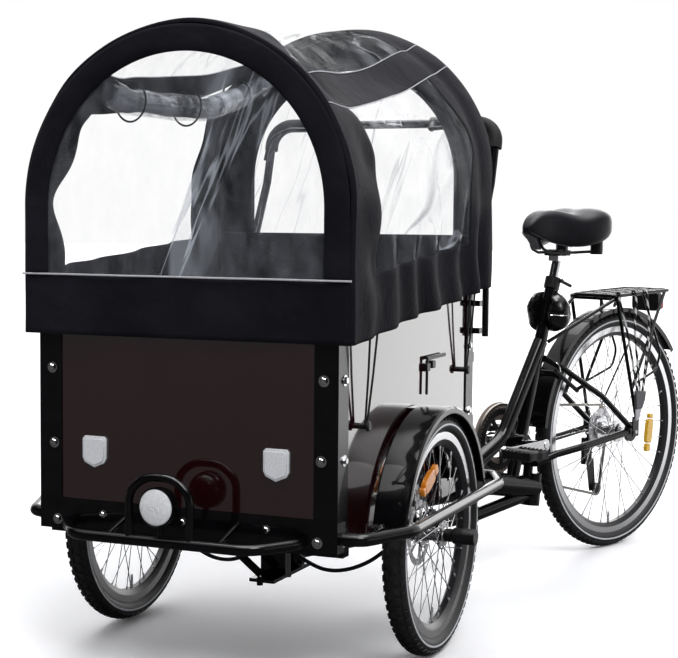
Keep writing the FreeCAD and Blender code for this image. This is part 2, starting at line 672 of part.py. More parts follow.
def main_frame():
    """Welded frame: head tube, main tube, lower tube, swept tube, seat tube and bracket shell."""
    head, bore = head_tube()
    end_y, end_z = MAIN_END
    main = bent_tube([(0, 10, MAIN_Z), (0, 700, MAIN_Z), (0, end_y, end_z)], MAIN_TUBE, 300.0)
    lower = bent_tube([(0, 10, LOW_Z), (0, 640, LOW_Z), (0, end_y - 18, LOW_Z + 28)], LOW_TUBE, 200.0)
    swept = bent_tube([(0, 560, MAIN_Z + 22), (0, 654, MAIN_Z + 64), (0, 752, MAIN_Z + 112),
                       (0, seat_line(600.0), 600)], SWEPT_TUBE, 90.0)
    top_y, top_z = SEAT_TUBE_TOP
    seat = rod((0, seat_line(240.0), 240.0), (0, top_y, top_z), 34.0)
    shell = rod((-34, BB_BACK, BB_H), (34, BB_BACK, BB_H), 42.0)
    cap = rod((0, end_y - 14, end_z - 46), (0, end_y - 4, end_z + 40), 52.0)
    body = fuse([head, main, lower, swept, seat, shell, cap])
    spindle = rod((-80, BB_BACK, BB_H), (80, BB_BACK, BB_H), 2 * (SPINDLE_R + SHAFT_GAP))
    top_open = rod((0, seat_line(560.0), 560.0), (0, top_y + 3.2, top_z + 10.0), POST_D + 0.1)
    return body.cut(Part.makeCompound([bore, spindle, top_open]))


def seat_stays():
    """The two thin stays from the seat tube to the dropouts."""
    return Part.makeCompound([
        bent_tube([(s * 16, seat_line(STAY_TOP) + 14, STAY_TOP), (s * 44, 953, 529), (s * 60, 1040, 478),
                   (s * DROPOUT_X, 1105, 443), (s * DROPOUT_X, REAR_AXLE - 4, REAR_TYRE_R + 14)],
                  STAY - 4, 60.0) for s in (-1, 1)])


def rear_triangle():
    """Chain stays, seat stays and dropout plates as one fork round the wheel."""
    pieces = seat_stays().Solids
    foot_y, foot_z = STAY_FOOT
    for s in (-1, 1):
        x = s * DROPOUT_X
        pieces.append(bent_tube([(s * 24, foot_y, foot_z), (s * 44, foot_y + 62, foot_z + 20),
                                 (x, foot_y + 142, foot_z + 34), (x, REAR_AXLE - 12, REAR_TYRE_R)], STAY, 80.0))
        plate = rod((x - 3, REAR_AXLE, REAR_TYRE_R), (x + 3, REAR_AXLE, REAR_TYRE_R), 56.0)
        pieces.append(plate)
    pieces.append(block(-DROPOUT_X - 3, -DROPOUT_X + 3, REAR_AXLE - 14, REAR_AXLE + 12,
                        REAR_TYRE_R - 62, REAR_TYRE_R))
    pieces.append(rod((-24, foot_y, foot_z), (24, foot_y, foot_z), STAY))
    pieces.append(rod((0, foot_y - 6, foot_z - 50), (0, foot_y, foot_z), STAY + 6))
    top = seat_line(STAY_TOP) + 14
    pieces.append(rod((-16, top, STAY_TOP), (16, top, STAY_TOP), STAY - 4))
    fork = fuse(pieces)
    hole = rod((-100, REAR_AXLE, REAR_TYRE_R), (100, REAR_AXLE, REAR_TYRE_R), 2 * REAR_AXLE_R)
    return fork.cut(Part.makeCompound([hole, frame_solid_guard()]))


def frame_solid_guard():
    """Space of the seat tube and main tube, cut from the stays so that they meet face to face."""
    end_y, end_z = MAIN_END
    top_y, top_z = SEAT_TUBE_TOP
    return fuse([rod((0, seat_line(240.0), 240.0), (0, top_y, top_z), 34.0),
                 bent_tube([(0, 10, MAIN_Z), (0, 700, MAIN_Z), (0, end_y, end_z)], MAIN_TUBE, 300.0),
                 rod((0, end_y - 14, end_z - 46), (0, end_y - 4, end_z + 40), 52.0)])


REAR_AXLE_R = 5.0
SPINDLE_R = 9.0
POST_D = 27.2
POST_UP = 80.0              # post above the seat tube


def rear_axle():
    """Axle bolt with a nut on each side."""
    z = REAR_TYRE_R
    end = RACK_LEG_X + 6.0
    shaft = rod((-end, REAR_AXLE, z), (end, REAR_AXLE, z), 2 * REAR_AXLE_R)
    nuts = [rod((s * (DROPOUT_X + 3), REAR_AXLE, z), (s * (DROPOUT_X + 13), REAR_AXLE, z), 20.0)
            for s in (-1, 1)]
    return fuse([shaft] + nuts)


def seat_post():
    top_y, top_z = SEAT_TUBE_TOP
    lean = V(0, 0.3127, 1.0)
    lean.normalize()
    foot = V(0, top_y, top_z) - lean * 180.0
    head = V(0, top_y, top_z) + lean * POST_UP
    post = rod(tuple(foot), tuple(head), POST_D)
    bracket = block(-16, 16, head.y - 18, head.y + 18, head.z - 6, head.z + 8)
    return fuse([post, bracket])


def seat_clamp():
    top_y, top_z = SEAT_TUBE_TOP
    lean = V(0, 0.3127, 1.0)
    lean.normalize()
    low = V(0, top_y, top_z) - lean * 4.0
    high = V(0, top_y, top_z) + lean * 26.0
    ring = rod(tuple(low), tuple(high), 42.0)
    ring = ring.cut(rod(tuple(low - lean), tuple(high + lean), POST_D + 0.1))
    ring = ring.cut(rod((0, seat_line(240.0), 240.0), (0, top_y, top_z), 34.0))
    lever = rod((24, high.y + 2, high.z - 8), (30, high.y + 38, high.z - 22), 9.0)
    ear = rod((-26, high.y + 4, high.z - 8), (28, high.y + 4, high.z - 8), 11.0)
    ear = ear.cut(rod(tuple(low - lean), tuple(high + lean), POST_D + 0.1))
    ear = ear.cut(rod((0, seat_line(240.0), 240.0), (0, top_y, top_z), 34.0))
    return fuse([ring, ear, lever])


def saddle_slice(y, half, z_low, z_high):
    """Rounded cross-section of the saddle at one station, squarer than an ellipse."""
    mid, rise = (z_low + z_high) / 2, (z_high - z_low) / 2
    steps = 16
    pts = []
    for i in range(steps):
        a = 2 * math.pi * i / steps
        across, up = math.cos(a), math.sin(a)
        pts.append(V(half * math.copysign(abs(across) ** 0.75, across), y,
                     mid + rise * math.copysign(abs(up) ** 0.75, up)))
    curve = Part.BSplineCurve()
    curve.interpolate(pts, PeriodicFlag=True)
    return Part.Wire([curve.toShape()])


def saddle():
    """Padded saddle: narrow nose, dipped middle and a broad raised rear."""
    top = SADDLE_TOP
    slices = [saddle_slice(837, 16, top - 66, top - 38), saddle_slice(866, 26, top - 76, top - 14),
              saddle_slice(912, 36, top - 94, top - 2), saddle_slice(950, 54, top - 104, top),
              saddle_slice(995, 80, top - 105, top - 6), saddle_slice(1040, 100, top - 98, top + 4),
              saddle_slice(1085, 100, top - 84, top + 6), saddle_slice(1120, 80, top - 62, top - 14)]
    return Part.makeLoft(slices, True, False)


RAIL_Z = 838.0              # level run of the saddle rails


def saddle_springs():
    """Rails under the saddle, the rear bumpers and the clamp on the post."""
    top_y, top_z = SEAT_TUBE_TOP
    lean = V(0, 0.3127, 1.0)
    lean.normalize()
    head = V(0, top_y, top_z) + lean * POST_UP
    pieces = [block(-26, 26, head.y - 24, head.y + 24, head.z + 8, RAIL_Z + 6),
              rod((-30, head.y + 2, RAIL_Z), (30, head.y + 2, RAIL_Z), 16.0)]
    for s in (-1, 1):
        pieces.append(bent_tube([(s * 14, 872, RAIL_Z + 46), (s * 18, 890, RAIL_Z + 10), (s * 22, 922, RAIL_Z),
                                 (s * 30, 1010, RAIL_Z), (s * 56, 1075, RAIL_Z + 3)], 8.0, 24.0))
        pieces.append(rod((s * 58, 1078, RAIL_Z - 5), (s * 58, 1078, RAIL_Z + 34), 34.0))
    pieces.append(rod((-14, 872, RAIL_Z + 45), (14, 872, RAIL_Z + 45), 10.0))
    pad = saddle()
    lowered = pad.copy()
    lowered.translate(V(0, 0, -SOFT_GAP))
    return fuse(pieces).cut(pad).cut(lowered)


def tube_pouch():
    """Round pouch strapped behind the seat tube under the clamp."""
    top_y, top_z = SEAT_TUBE_TOP
    center = V(0, seat_line(680.0) + 2.0, 680.0)
    ball = Part.makeSphere(62.0, V(0, 0, 0))
    scale = FreeCAD.Matrix()
    scale.scale(V(1.08, 1.12, 0.97))
    ball = ball.transformGeometry(scale)
    ball.translate(center)
    space = rod((0, seat_line(240.0), 240.0), (0, top_y, top_z), 34.0 + 2 * SOFT_GAP)
    return ball.cut(Part.makeCompound([space, block(-100, 100, top_y - 200, top_y + 200, top_z - 5, top_z + 100)]))


RACK_ROD = 10.0
RACK_LEG_X = DROPOUT_X + 15.0       # foot plates sit outside the axle nuts
STRUT_Z = 600.0             # where the carrier's struts meet the seat tube


def deck_z(y):
    """Height of the carrier's deck at a station."""
    return RACK_H + RACK_RISE * (y - RACK_FRONT) / (RACK_REAR - RACK_FRONT)


def rear_rack():
    """Tube carrier: looped deck, legs and bowed stays to the axle, and two struts to the seat tube."""
    half, d = RACK_W / 2, RACK_ROD
    mid = (RACK_FRONT + RACK_REAR) / 2
    pieces = []
    for end, inward in ((RACK_FRONT, 1), (RACK_REAR, -1)):
        run = [(-half, mid, deck_z(mid)), (-half, end + inward * 16, deck_z(end)),
               (-half + 18, end, deck_z(end))]
        pieces.append(bent_tube(run + [(-x, y, h) for x, y, h in reversed(run)], d, 18.0))
    pieces += [rod((x, RACK_FRONT, deck_z(RACK_FRONT)), (x, RACK_REAR, deck_z(RACK_REAR)), 7.0)
               for x in (-half / 2.1, 0, half / 2.1)]
    bars = 4
    spacing = (RACK_REAR - RACK_FRONT) / (bars + 1)
    for i in range(bars):
        y = RACK_FRONT + spacing * (i + 1)
        pieces.append(rod((-half, y, deck_z(y)), (half, y, deck_z(y)), 7.0))
    low = RACK_H - 9.0
    pieces.append(rod((-half, RACK_FRONT + 8, low), (half, RACK_FRONT + 8, low), 9.0))
    foot_z = REAR_TYRE_R + 34
    meet = (REAR_AXLE - 14.0, REAR_TYRE_R + 124)
    for s in (-1, 1):
        front_y = RACK_FRONT + 14.0
        leg = [(s * half, front_y - 8, RACK_H), (s * (half + 2), front_y, RACK_H - 26),
               (s * RACK_LEG_X, REAR_AXLE + 6, foot_z)]
        pieces.append(bent_tube(leg, d, 20.0))
        back_y = RACK_REAR - 32
        pieces.append(rod((s * half, back_y, deck_z(back_y)), (s * (RACK_LEG_X - 3), *meet), d - 1))
        bow = [(s * half, mid - 3, deck_z(mid)), (s * half, mid + 92, 548), (s * half, mid + 72, 500),
               (s * (RACK_LEG_X - 5), meet[0] + 4, meet[1] + 8)]
        pieces.append(bent_tube(bow, 7.0, 36.0))
        strut_y = seat_line(STRUT_Z) + 13.0
        pieces.append(rod((s * (half - 5), RACK_FRONT + 8, low), (s * 17, strut_y, STRUT_Z), d))
        foot = block(s * RACK_LEG_X - 2, s * RACK_LEG_X + 2, REAR_AXLE - 12, REAR_AXLE + 16,
                     REAR_TYRE_R - 12, REAR_TYRE_R + 44)
        pieces.append(foot)
    prop_y = RACK_FRONT + 42
    pieces.append(rod((0, prop_y, deck_z(prop_y)), (0, prop_y, REAR_TYRE_R + 200), 8.0))
    wheel_space = rod((-20, REAR_AXLE, REAR_TYRE_R), (20, REAR_AXLE, REAR_TYRE_R),
                      2 * (REAR_TYRE_R + REAR_FENDER_GAP + FENDER_T))
    axle_hole = rod((-100, REAR_AXLE, REAR_TYRE_R), (100, REAR_AXLE, REAR_TYRE_R), 2 * REAR_AXLE_R)
    return fuse(pieces).cut(Part.makeCompound([wheel_space, axle_hole])).cut(frame_solid_guard())


def rack_straps():
    """Three elastic straps from the deck's left edge to a hook beside the legs."""
    x = RACK_W / 2 + RACK_ROD / 2 + 4.0
    hook_x = RACK_LEG_X + RACK_ROD / 2 + 5.0
    straps = []
    for y, dy in ((12.0, -6.0), (86.0, 6.0), (142.0, 18.0)):
        top = deck_z(RACK_FRONT + y) + 4
        straps.append(bent_tube([(x, RACK_FRONT + y, top), (x + 3, RACK_FRONT + y, top - 28),
                                 (hook_x, REAR_AXLE + dy, REAR_TYRE_R + 112)], 7.0, 20.0))
    hook = block(hook_x - 4, hook_x + 4, REAR_AXLE - 16, REAR_AXLE + 28, REAR_TYRE_R + 62, REAR_TYRE_R + 116)
    return fuse(straps + [hook])


def tail_light():
    """Wide rear lamp under the back of the deck."""
    y = RACK_REAR - RACK_ROD / 2 - 14.0
    return block(-46, 46, y, y + 34, RACK_H - 56, RACK_H + RACK_RISE - RACK_ROD / 2)


REAR_FENDER_GAP = 12.0
REAR_FENDER_W = 58.0


def rear_fender():
    """Narrow fender with a stay on each side to the dropouts and a screw to the seat tube."""
    inner = REAR_TYRE_R + REAR_FENDER_GAP
    arch = arc_fender(0, REAR_AXLE, REAR_TYRE_R, inner, REAR_FENDER_W, 10.0, 38.0, 174.0)
    a = math.radians(60.0)
    y, z = REAR_AXLE + (inner - 6.0) * math.cos(a), REAR_TYRE_R + (inner - 6.0) * math.sin(a)
    stays = [rod((s * (REAR_FENDER_W / 2 - 1.0), y, z), (s * (DROPOUT_X + 6.3), REAR_AXLE + 20.0, REAR_TYRE_R + 6.0),
                 5.0) for s in (-1, 1)]
    screw_z = 382.0
    screw = rod((0, seat_line(screw_z) + 17.9, screw_z), (0, REAR_AXLE - inner + 3.0, screw_z), 8.0)
    return fuse([arch, screw] + stays)


# ---- drive ----
RING_R = 84.0
RING_X = -52.0
SPROCKET_R = 56.0
CHAIN_W = 7.0
CHAIN_H = 7.0
PULLEY_R = 15.0
PULLEY = (8.0, 177.0)        # lower pulley behind and under the rear axle


def crank_set():
    """Spindle, chainring with its guard disc, two crank arms in line and the pedal pins."""
    spindle = rod((-100, BB_BACK, BB_H), (100, BB_BACK, BB_H), 2 * SPINDLE_R)
    ring = Part.makeCylinder(RING_R, 3.0, V(RING_X - 1.5, BB_BACK, BB_H), X)
    windows = [Part.makeCylinder(13.0, 3.0, V(RING_X - 1.5, BB_BACK + 55.0 * math.cos(a),
                                              BB_H + 55.0 * math.sin(a)), X)
               for a in (2 * math.pi * i / 5 for i in range(5))]
    guard = Part.makeCylinder(RING_R + 14.0, 3.0, V(RING_X - 14.0, BB_BACK, BB_H), X)
    guard = guard.cut(Part.makeCylinder(RING_R - 34.0, 3.0, V(RING_X - 14.0, BB_BACK, BB_H), X))
    lugs = [rod((RING_X - 14.0, BB_BACK + 60.0 * math.cos(a), BB_H + 60.0 * math.sin(a)),
                (RING_X, BB_BACK + 60.0 * math.cos(a), BB_H + 60.0 * math.sin(a)), 8.0)
            for a in (2 * math.pi * (i + 0.5) / 5 for i in range(5))]
    arms = []
    for s in (-1, 1):
        x = s * 94.0
        tip_y = BB_BACK - s * CRANK_L
        arms.append(block(x - 6, x + 6, min(BB_BACK, tip_y), max(BB_BACK, tip_y), BB_H - 11, BB_H + 11))
        arms.append(rod((x - 6, tip_y, BB_H), (x + 6, tip_y, BB_H), 26.0))
        arms.append(rod((x - 6, BB_BACK, BB_H), (x + 6, BB_BACK, BB_H), 34.0))
        arms.append(rod((s * 100, tip_y, BB_H), (s * 108, tip_y, BB_H), 16.0))
        arms.append(rod((s * 100, tip_y, BB_H), (s * (114 + PEDAL_L), tip_y, BB_H), 2 * PEDAL_PIN_R))
    ring = ring.cut(Part.makeCompound(windows))
    return fuse([spindle, ring, guard] + lugs + arms)


PEDAL_PIN_R = 5.0
PEDAL_L = 92.0
PEDAL_D = 76.0
PEDAL_T = 26.0


def pedal(s):
    """Cage pedal turning on its spindle: centre barrel, two side plates and the end bars."""
    tip_y = BB_BACK - s * CRANK_L
    x0, x1 = sorted((s * 112.0, s * (112.0 + PEDAL_L)))
    y0, y1 = tip_y - PEDAL_D / 2, tip_y + PEDAL_D / 2
    frame = block(x0, x1, y0, y1, BB_H - PEDAL_T / 2, BB_H + PEDAL_T / 2)
    gaps = [block(x0 + 9, x1 - 9, a, b, BB_H - PEDAL_T, BB_H + PEDAL_T)
            for a, b in ((y0 + 9, tip_y - 13), (tip_y + 13, y1 - 9))]
    hole = rod((x0 - 1, tip_y, BB_H), (x1 + 1, tip_y, BB_H), 2 * (PEDAL_PIN_R + SHAFT_GAP))
    return frame.cut(Part.makeCompound(gaps + [hole]))


REAR_HUB_HALF = 33.0


def rear_rim():
    return spoked_rim(0, REAR_AXLE, REAR_TYRE_R, REAR_TYRE_R, REAR_TYRE_W, REAR_HUB_HALF, 20.0,
                      REAR_AXLE_R + SHAFT_GAP, 24.0)


def sprockets():
    """Stack of sprockets on the right of the rear hub."""
    z = REAR_TYRE_R
    discs = [Part.makeCylinder(SPROCKET_R - 5.0 * i, 2.4, V(-REAR_HUB_HALF - 2.4 - 3.6 * i, REAR_AXLE, z), X)
             for i in range(5)]
    core = Part.makeCylinder(20.0, 19.6, V(-REAR_HUB_HALF - 19.6, REAR_AXLE, z), X)
    bore = Part.makeCylinder(REAR_AXLE_R + SHAFT_GAP, 30.0, V(-REAR_HUB_HALF - 25.0, REAR_AXLE, z), X)
    return fuse([core] + discs).cut(bore)


def belt_face(circles, grow):
    """Face inside a belt drawn tight round circles of (y, z, radius), given anticlockwise."""
    x = RING_X - CHAIN_W / 2
    touch = []
    for (y0, z0, r0), (y1, z1, r1) in zip(circles, circles[1:] + circles[:1]):
        run = math.hypot(y1 - y0, z1 - z0)
        normal = math.atan2(z1 - z0, y1 - y0) - math.pi / 2 + math.asin((r1 - r0) / run)
        ny, nz = math.cos(normal), math.sin(normal)
        touch.append((V(x, y0 + (r0 + grow) * ny, z0 + (r0 + grow) * nz),
                      V(x, y1 + (r1 + grow) * ny, z1 + (r1 + grow) * nz), normal))
    edges = []
    for k, (leave, arrive, normal) in enumerate(touch):
        edges.append(Part.LineSegment(leave, arrive).toShape())
        y1, z1, r1 = circles[(k + 1) % len(circles)]
        next_leave, _, next_normal = touch[(k + 1) % len(touch)]
        turn = (next_normal - normal) % (2 * math.pi)
        mid = normal + turn / 2
        top = V(x, y1 + (r1 + grow) * math.cos(mid), z1 + (r1 + grow) * math.sin(mid))
        edges.append(Part.Arc(arrive, top, next_leave).toShape())
    return Part.Face(Part.Wire(edges))


def chain():
    """Closed chain loop round the chainring, the lower pulley and the rear sprockets."""
    back, down = PULLEY
    circles = [(BB_BACK, BB_H, RING_R + MOVE_GAP + 0.5),
               (REAR_AXLE + back, REAR_TYRE_R - down, PULLEY_R + SOFT_GAP),
               (REAR_AXLE, REAR_TYRE_R, SPROCKET_R + MOVE_GAP + 0.5)]
    loop = belt_face(circles, CHAIN_H).cut(belt_face(circles, 0.0))
    return loop.extrude(V(CHAIN_W, 0, 0))


def derailleur():
    """Changer body under the right dropout, with its long cage and the lower pulley."""
    y, z = REAR_AXLE, REAR_TYRE_R
    back, down = PULLEY
    outer_x = -DROPOUT_X - 3.0
    body = block(outer_x - 11.0, outer_x, y - 24.0, y + 14.0, z - 108.0, z - 31.0)
    cage_x = RING_X - CHAIN_W / 2 - 5.0
    cage = rounded_pad([(y - 26.0, z - 92.0), (y + 8.0, z - 92.0), (y + back + 12.0, z - down - 8.0),
                        (y + back - 16.0, z - down - 8.0)], cage_x - 3.0, cage_x)
    link = block(outer_x - 9.0, cage_x, y - 20.0, y - 4.0, z - 106.0, z - 94.0)
    axle_y, axle_z = y + back, z - down
    pulley = rod((cage_x, axle_y, axle_z), (RING_X - CHAIN_W / 2, axle_y, axle_z), 14.0)
    wheel = rod((RING_X - CHAIN_W / 2, axle_y, axle_z), (RING_X + CHAIN_W / 2, axle_y, axle_z), 2 * PULLEY_R)
    return fuse([body, link, cage, pulley, wheel])


def rear_brake():
    """Two brake arms on studs of the seat stays, with their pads at the rim and a link across."""
    a = math.radians(149.0)
    out_y, out_z = math.cos(a), math.sin(a)
    pad_r = REAR_TYRE_R - TYRE_WALL - 8.0
    pad_x = REAR_TYRE_W * 0.30 + MOVE_GAP + 7.0
    top_r = REAR_TYRE_R + REAR_FENDER_GAP + 16.0
    arm_x = REAR_FENDER_W / 2 + 7.5

    def at(x, radius, along=0.0):
        return (x, REAR_AXLE + radius * out_y + along * out_z, REAR_TYRE_R + radius * out_z - along * out_y)

    pieces = []
    for s in (-1, 1):
        pieces.append(rod((s * 59.0, 1036.0, 480.0), at(s * arm_x, pad_r - 28.0), 10.0))
        pieces.append(rod(at(s * arm_x, pad_r - 34.0), at(s * arm_x, top_r + 6.0), 12.0))
        pieces.append(rod(at(s * pad_x, pad_r), at(s * arm_x, pad_r), 8.0))
        pieces.append(rod(at(s * pad_x, pad_r, -22.0), at(s * pad_x, pad_r, 26.0), 11.0))
    pieces.append(rod(at(-arm_x - 4.0, top_r), at(arm_x + 4.0, top_r), 6.0))
    return fuse(pieces).cut(seat_stays())


# ---- assembly ----
def frame_nodes():
    return {
        "main_frame": main_frame(), "rear_triangle": rear_triangle(), "rear_axle": rear_axle(),
        "seat_post": seat_post(), "seat_clamp": seat_clamp(), "saddle": saddle(),
        "saddle_springs": saddle_springs(), "tube_pouch": tube_pouch(), "rear_rack": rear_rack(),
        "rack_straps": rack_straps(), "tail_light": tail_light(), "rear_fender": rear_fender(),
        "rear_brake": rear_brake(), "derailleur": derailleur(), "chain": chain(),
        "crank_set": crank_set(),
        "left_pedal": pedal(1), "right_pedal": pedal(-1),
        "rear_tyre": tyre(0, REAR_AXLE, REAR_TYRE_R, REAR_TYRE_R, REAR_TYRE_W),
        "rear_rim": rear_rim(), "sprockets": sprockets(),
    }


def carriage_nodes():
    far_end = CANOPY_L - FABRIC
    nodes = {
        "side_panels": both_sides(side_panel()), "end_panels": end_panels(), "floor_panel": floor_panel(),
        "box_frame": box_frame(), "under_frame": under_frame(), "front_spindles": front_spindles(),
        "brake_calipers": brake_calipers(), "brake_hoses": brake_hoses(),
        "side_guards": side_guards(), "bumper": bumper(), "headlight": headlight(),
        "front_fenders": front_fenders(), "canopy_cover": canopy_cover(),
        "canopy_ends": Part.makeCompound([canopy_end(0.0, FRONT_ARCH_BAND),
                                          canopy_end(far_end, REAR_ARCH_BAND)]),
        "canopy_windows": Part.makeCompound([end_film(0.0, FRONT_ARCH_BAND),
                                             end_film(far_end, REAR_ARCH_BAND), side_film(), roof_film()]),
        "rolled_window": rolled_window(), "canopy_hoops": canopy_hoops(),
        "canopy_straps": canopy_straps(), "handlebar": handlebar(), "grips": grips(),
        "brake_levers": brake_levers(),
    }
    for word, side in (("left", 1), ("right", -1)):
        nodes["front_tyre_" + word] = tyre(side * WHEEL_X, 0, FRONT_TYRE_R, FRONT_TYRE_R, FRONT_TYRE_W)
        nodes["front_rim_" + word] = front_rim(side)
    return nodes


def main():
    os.makedirs("parts", exist_ok=True)
    nodes = {}
    for name, shape in frame_nodes().items():
        turned = shape.copy()
        turned.rotate(V(0, 0, 0), Z, -STEER_DEG)
        turned.translate(V(0, KINGPIN_Y, 0))
        nodes[name] = turned
    nodes.update(carriage_nodes())
    whole = Part.makeCompound(list(nodes.values())).optimalBoundingBox(False, False)
    shift = V(-(whole.XMin + whole.XMax) / 2, -(whole.YMin + whole.YMax) / 2, -whole.ZMin)
    for name, shape in nodes.items():
        shape.translate(shift)
        shape.exportStep("parts/" + name + ".step")
    print("origin shift", round(shift.x, 3), round(shift.y, 3), round(shift.z, 3))


main()
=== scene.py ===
"""Looks of the cargo tricycle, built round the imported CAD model."""

import math
import random

import bpy
from mathutils import Matrix, Vector, noise


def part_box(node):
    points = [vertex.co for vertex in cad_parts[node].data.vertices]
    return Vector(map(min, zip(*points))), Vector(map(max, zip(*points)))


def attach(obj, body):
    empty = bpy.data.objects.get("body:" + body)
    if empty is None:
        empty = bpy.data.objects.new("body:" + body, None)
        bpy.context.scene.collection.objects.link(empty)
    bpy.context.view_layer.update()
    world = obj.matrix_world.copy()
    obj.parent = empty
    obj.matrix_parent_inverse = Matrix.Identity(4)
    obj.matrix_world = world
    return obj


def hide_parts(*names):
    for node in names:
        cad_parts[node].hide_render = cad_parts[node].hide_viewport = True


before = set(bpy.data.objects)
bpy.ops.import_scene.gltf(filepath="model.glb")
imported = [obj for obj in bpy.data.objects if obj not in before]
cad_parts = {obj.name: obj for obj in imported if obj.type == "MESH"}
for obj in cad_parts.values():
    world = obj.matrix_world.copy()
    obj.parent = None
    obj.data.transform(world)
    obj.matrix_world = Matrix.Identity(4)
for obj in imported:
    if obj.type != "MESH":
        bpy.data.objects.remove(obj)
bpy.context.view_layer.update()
random.seed(7)

# ---------------------------------------------------------------- places
STEER = math.radians(22.0)
KINGPIN_Y = 0.100
post_lo, post_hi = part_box("box_frame")
ORIGIN = Vector(((post_lo.x + post_hi.x) / 2, post_lo.y + 0.435, 0.0))
BOX = Matrix.Translation(ORIGIN)
REAR = BOX @ Matrix.Translation((0, KINGPIN_Y, 0)) @ Matrix.Rotation(-STEER, 4, "Z")

HALF_W = 0.3275
BOX_FRONT, BOX_REAR = -0.435, 0.390
BOX_BOTTOM = 0.300
PANEL_X = 0.3245

CANOPY_HALF = 0.360
CANOPY_Y0, CANOPY_LEN = -0.446, 0.872
HEM_Z, SPRING_Z = 0.690, 0.942
CANOPY_RISE = 0.078
SKIRT = 0.120
FRONT_BAND, REAR_BAND = 0.140, 0.150

TRACK_X = 0.368
FRONT_R, FRONT_TYRE_W = 0.257, 0.050
REAR_R, REAR_TYRE_W = 0.333, 0.048
TYRE_WALL = 0.042
REAR_AXLE_Y = 1.245
BB_Y, BB_Z, CRANK_L = 0.812, 0.340, 0.166


# ---------------------------------------------------------------- materials
def node(tree, kind, **inputs):
    made = tree.nodes.new(kind)
    for name, value in inputs.items():
        made.inputs[name.replace("_", " ")].default_value = value
    return made


def surface(name, dark, light, rough, scale=40.0, bump=0.0, bump_scale=600.0, metal=0.0, coat=0.0,
            coat_rough=0.05, sheen=0.0, ior=1.5, level=0.5):
    """Principled material whose colour, roughness and bump come from noise in object space."""
    mat = bpy.data.materials.new(name)
    mat.use_nodes = True
    tree = mat.node_tree
    bsdf = tree.nodes["Principled BSDF"]
    bsdf.inputs["Metallic"].default_value = metal
    bsdf.inputs["Coat Weight"].default_value = coat
    bsdf.inputs["Coat Roughness"].default_value = coat_rough
    bsdf.inputs["Sheen Weight"].default_value = sheen
    bsdf.inputs["Sheen Roughness"].default_value = 0.5
    bsdf.inputs["Specular IOR Level"].default_value = level
    bsdf.inputs["Coat IOR"].default_value = max(1.5, ior)
    bsdf.inputs["IOR"].default_value = ior
    coords = tree.nodes.new("ShaderNodeTexCoord")
    base = node(tree, "ShaderNodeTexNoise", Scale=scale, Detail=6.0, Roughness=0.6)
    tree.links.new(coords.outputs["Object"], base.inputs["Vector"])
    ramp = tree.nodes.new("ShaderNodeValToRGB")
    ramp.color_ramp.elements[0].position, ramp.color_ramp.elements[1].position = 0.3, 0.72
    ramp.color_ramp.elements[0].color = (*dark, 1)
    ramp.color_ramp.elements[1].color = (*light, 1)
    tree.links.new(base.outputs["Fac"], ramp.inputs["Fac"])
    tree.links.new(ramp.outputs["Color"], bsdf.inputs["Base Color"])
    spread = node(tree, "ShaderNodeMapRange")
    spread.inputs["To Min"].default_value, spread.inputs["To Max"].default_value = rough
    tree.links.new(base.outputs["Fac"], spread.inputs["Value"])
    tree.links.new(spread.outputs["Result"], bsdf.inputs["Roughness"])
    if bump:
        fine = node(tree, "ShaderNodeTexNoise", Scale=bump_scale, Detail=4.0)
        tree.links.new(coords.outputs["Object"], fine.inputs["Vector"])
        relief = node(tree, "ShaderNodeBump", Strength=bump, Distance=0.001)
        tree.links.new(fine.outputs["Fac"], relief.inputs["Height"])
        tree.links.new(relief.outputs["Normal"], bsdf.inputs["Normal"])
    return mat


def woven(name, dark, light, pitch, bump=0.35, sheen=0.02, rough=(0.62, 0.82), fold=6.0):
    """Woven cloth: two crossed sets of threads at that pitch in metres, over soft colour variation."""
    mat = surface(name, dark, light, rough, scale=fold, sheen=sheen, level=0.08)
    tree = mat.node_tree
    bsdf = tree.nodes["Principled BSDF"]
    coords = next(n for n in tree.nodes if n.type == "TEX_COORD")
    total = None
    for direction in ("X", "Y", "Z"):
        threads = node(tree, "ShaderNodeTexWave", Scale=0.5 / pitch / 3.14159, Distortion=0.6, Detail=1.0)
        threads.bands_direction = direction
        tree.links.new(coords.outputs["Object"], threads.inputs["Vector"])
        if total is None:
            total = threads.outputs["Fac"]
        else:
            both = tree.nodes.new("ShaderNodeMath")
            both.operation = "ADD"
            tree.links.new(total, both.inputs[0])
            tree.links.new(threads.outputs["Fac"], both.inputs[1])
            total = both.outputs[0]
    relief = node(tree, "ShaderNodeBump", Strength=bump, Distance=0.0006)
    tree.links.new(total, relief.inputs["Height"])
    crease = node(tree, "ShaderNodeTexNoise", Scale=11.0, Detail=3.0, Distortion=1.2)
    tree.links.new(coords.outputs["Object"], crease.inputs["Vector"])
    folds = node(tree, "ShaderNodeBump", Strength=0.25, Distance=0.02)
    tree.links.new(crease.outputs["Fac"], folds.inputs["Height"])
    tree.links.new(folds.outputs["Normal"], relief.inputs["Normal"])
    tree.links.new(relief.outputs["Normal"], bsdf.inputs["Normal"])
    return mat


def ramp_of(tree, source, stops):
    """Grey ramp through (position, value) stops."""
    made = tree.nodes.new("ShaderNodeValToRGB")
    ramp = made.color_ramp
    while len(ramp.elements) < len(stops):
        ramp.elements.new(1.0)
    for element, (position, value) in zip(ramp.elements, stops):
        element.position, element.color = position, (value, value, value, 1)
    tree.links.new(source, made.inputs["Fac"])
    return made.outputs["Color"]


def combine(tree, operation, first, second, clamp=True):
    made = tree.nodes.new("ShaderNodeMath")
    made.operation = operation
    made.use_clamp = clamp
    tree.links.new(first, made.inputs[0])
    tree.links.new(second, made.inputs[1])
    return made.outputs[0]


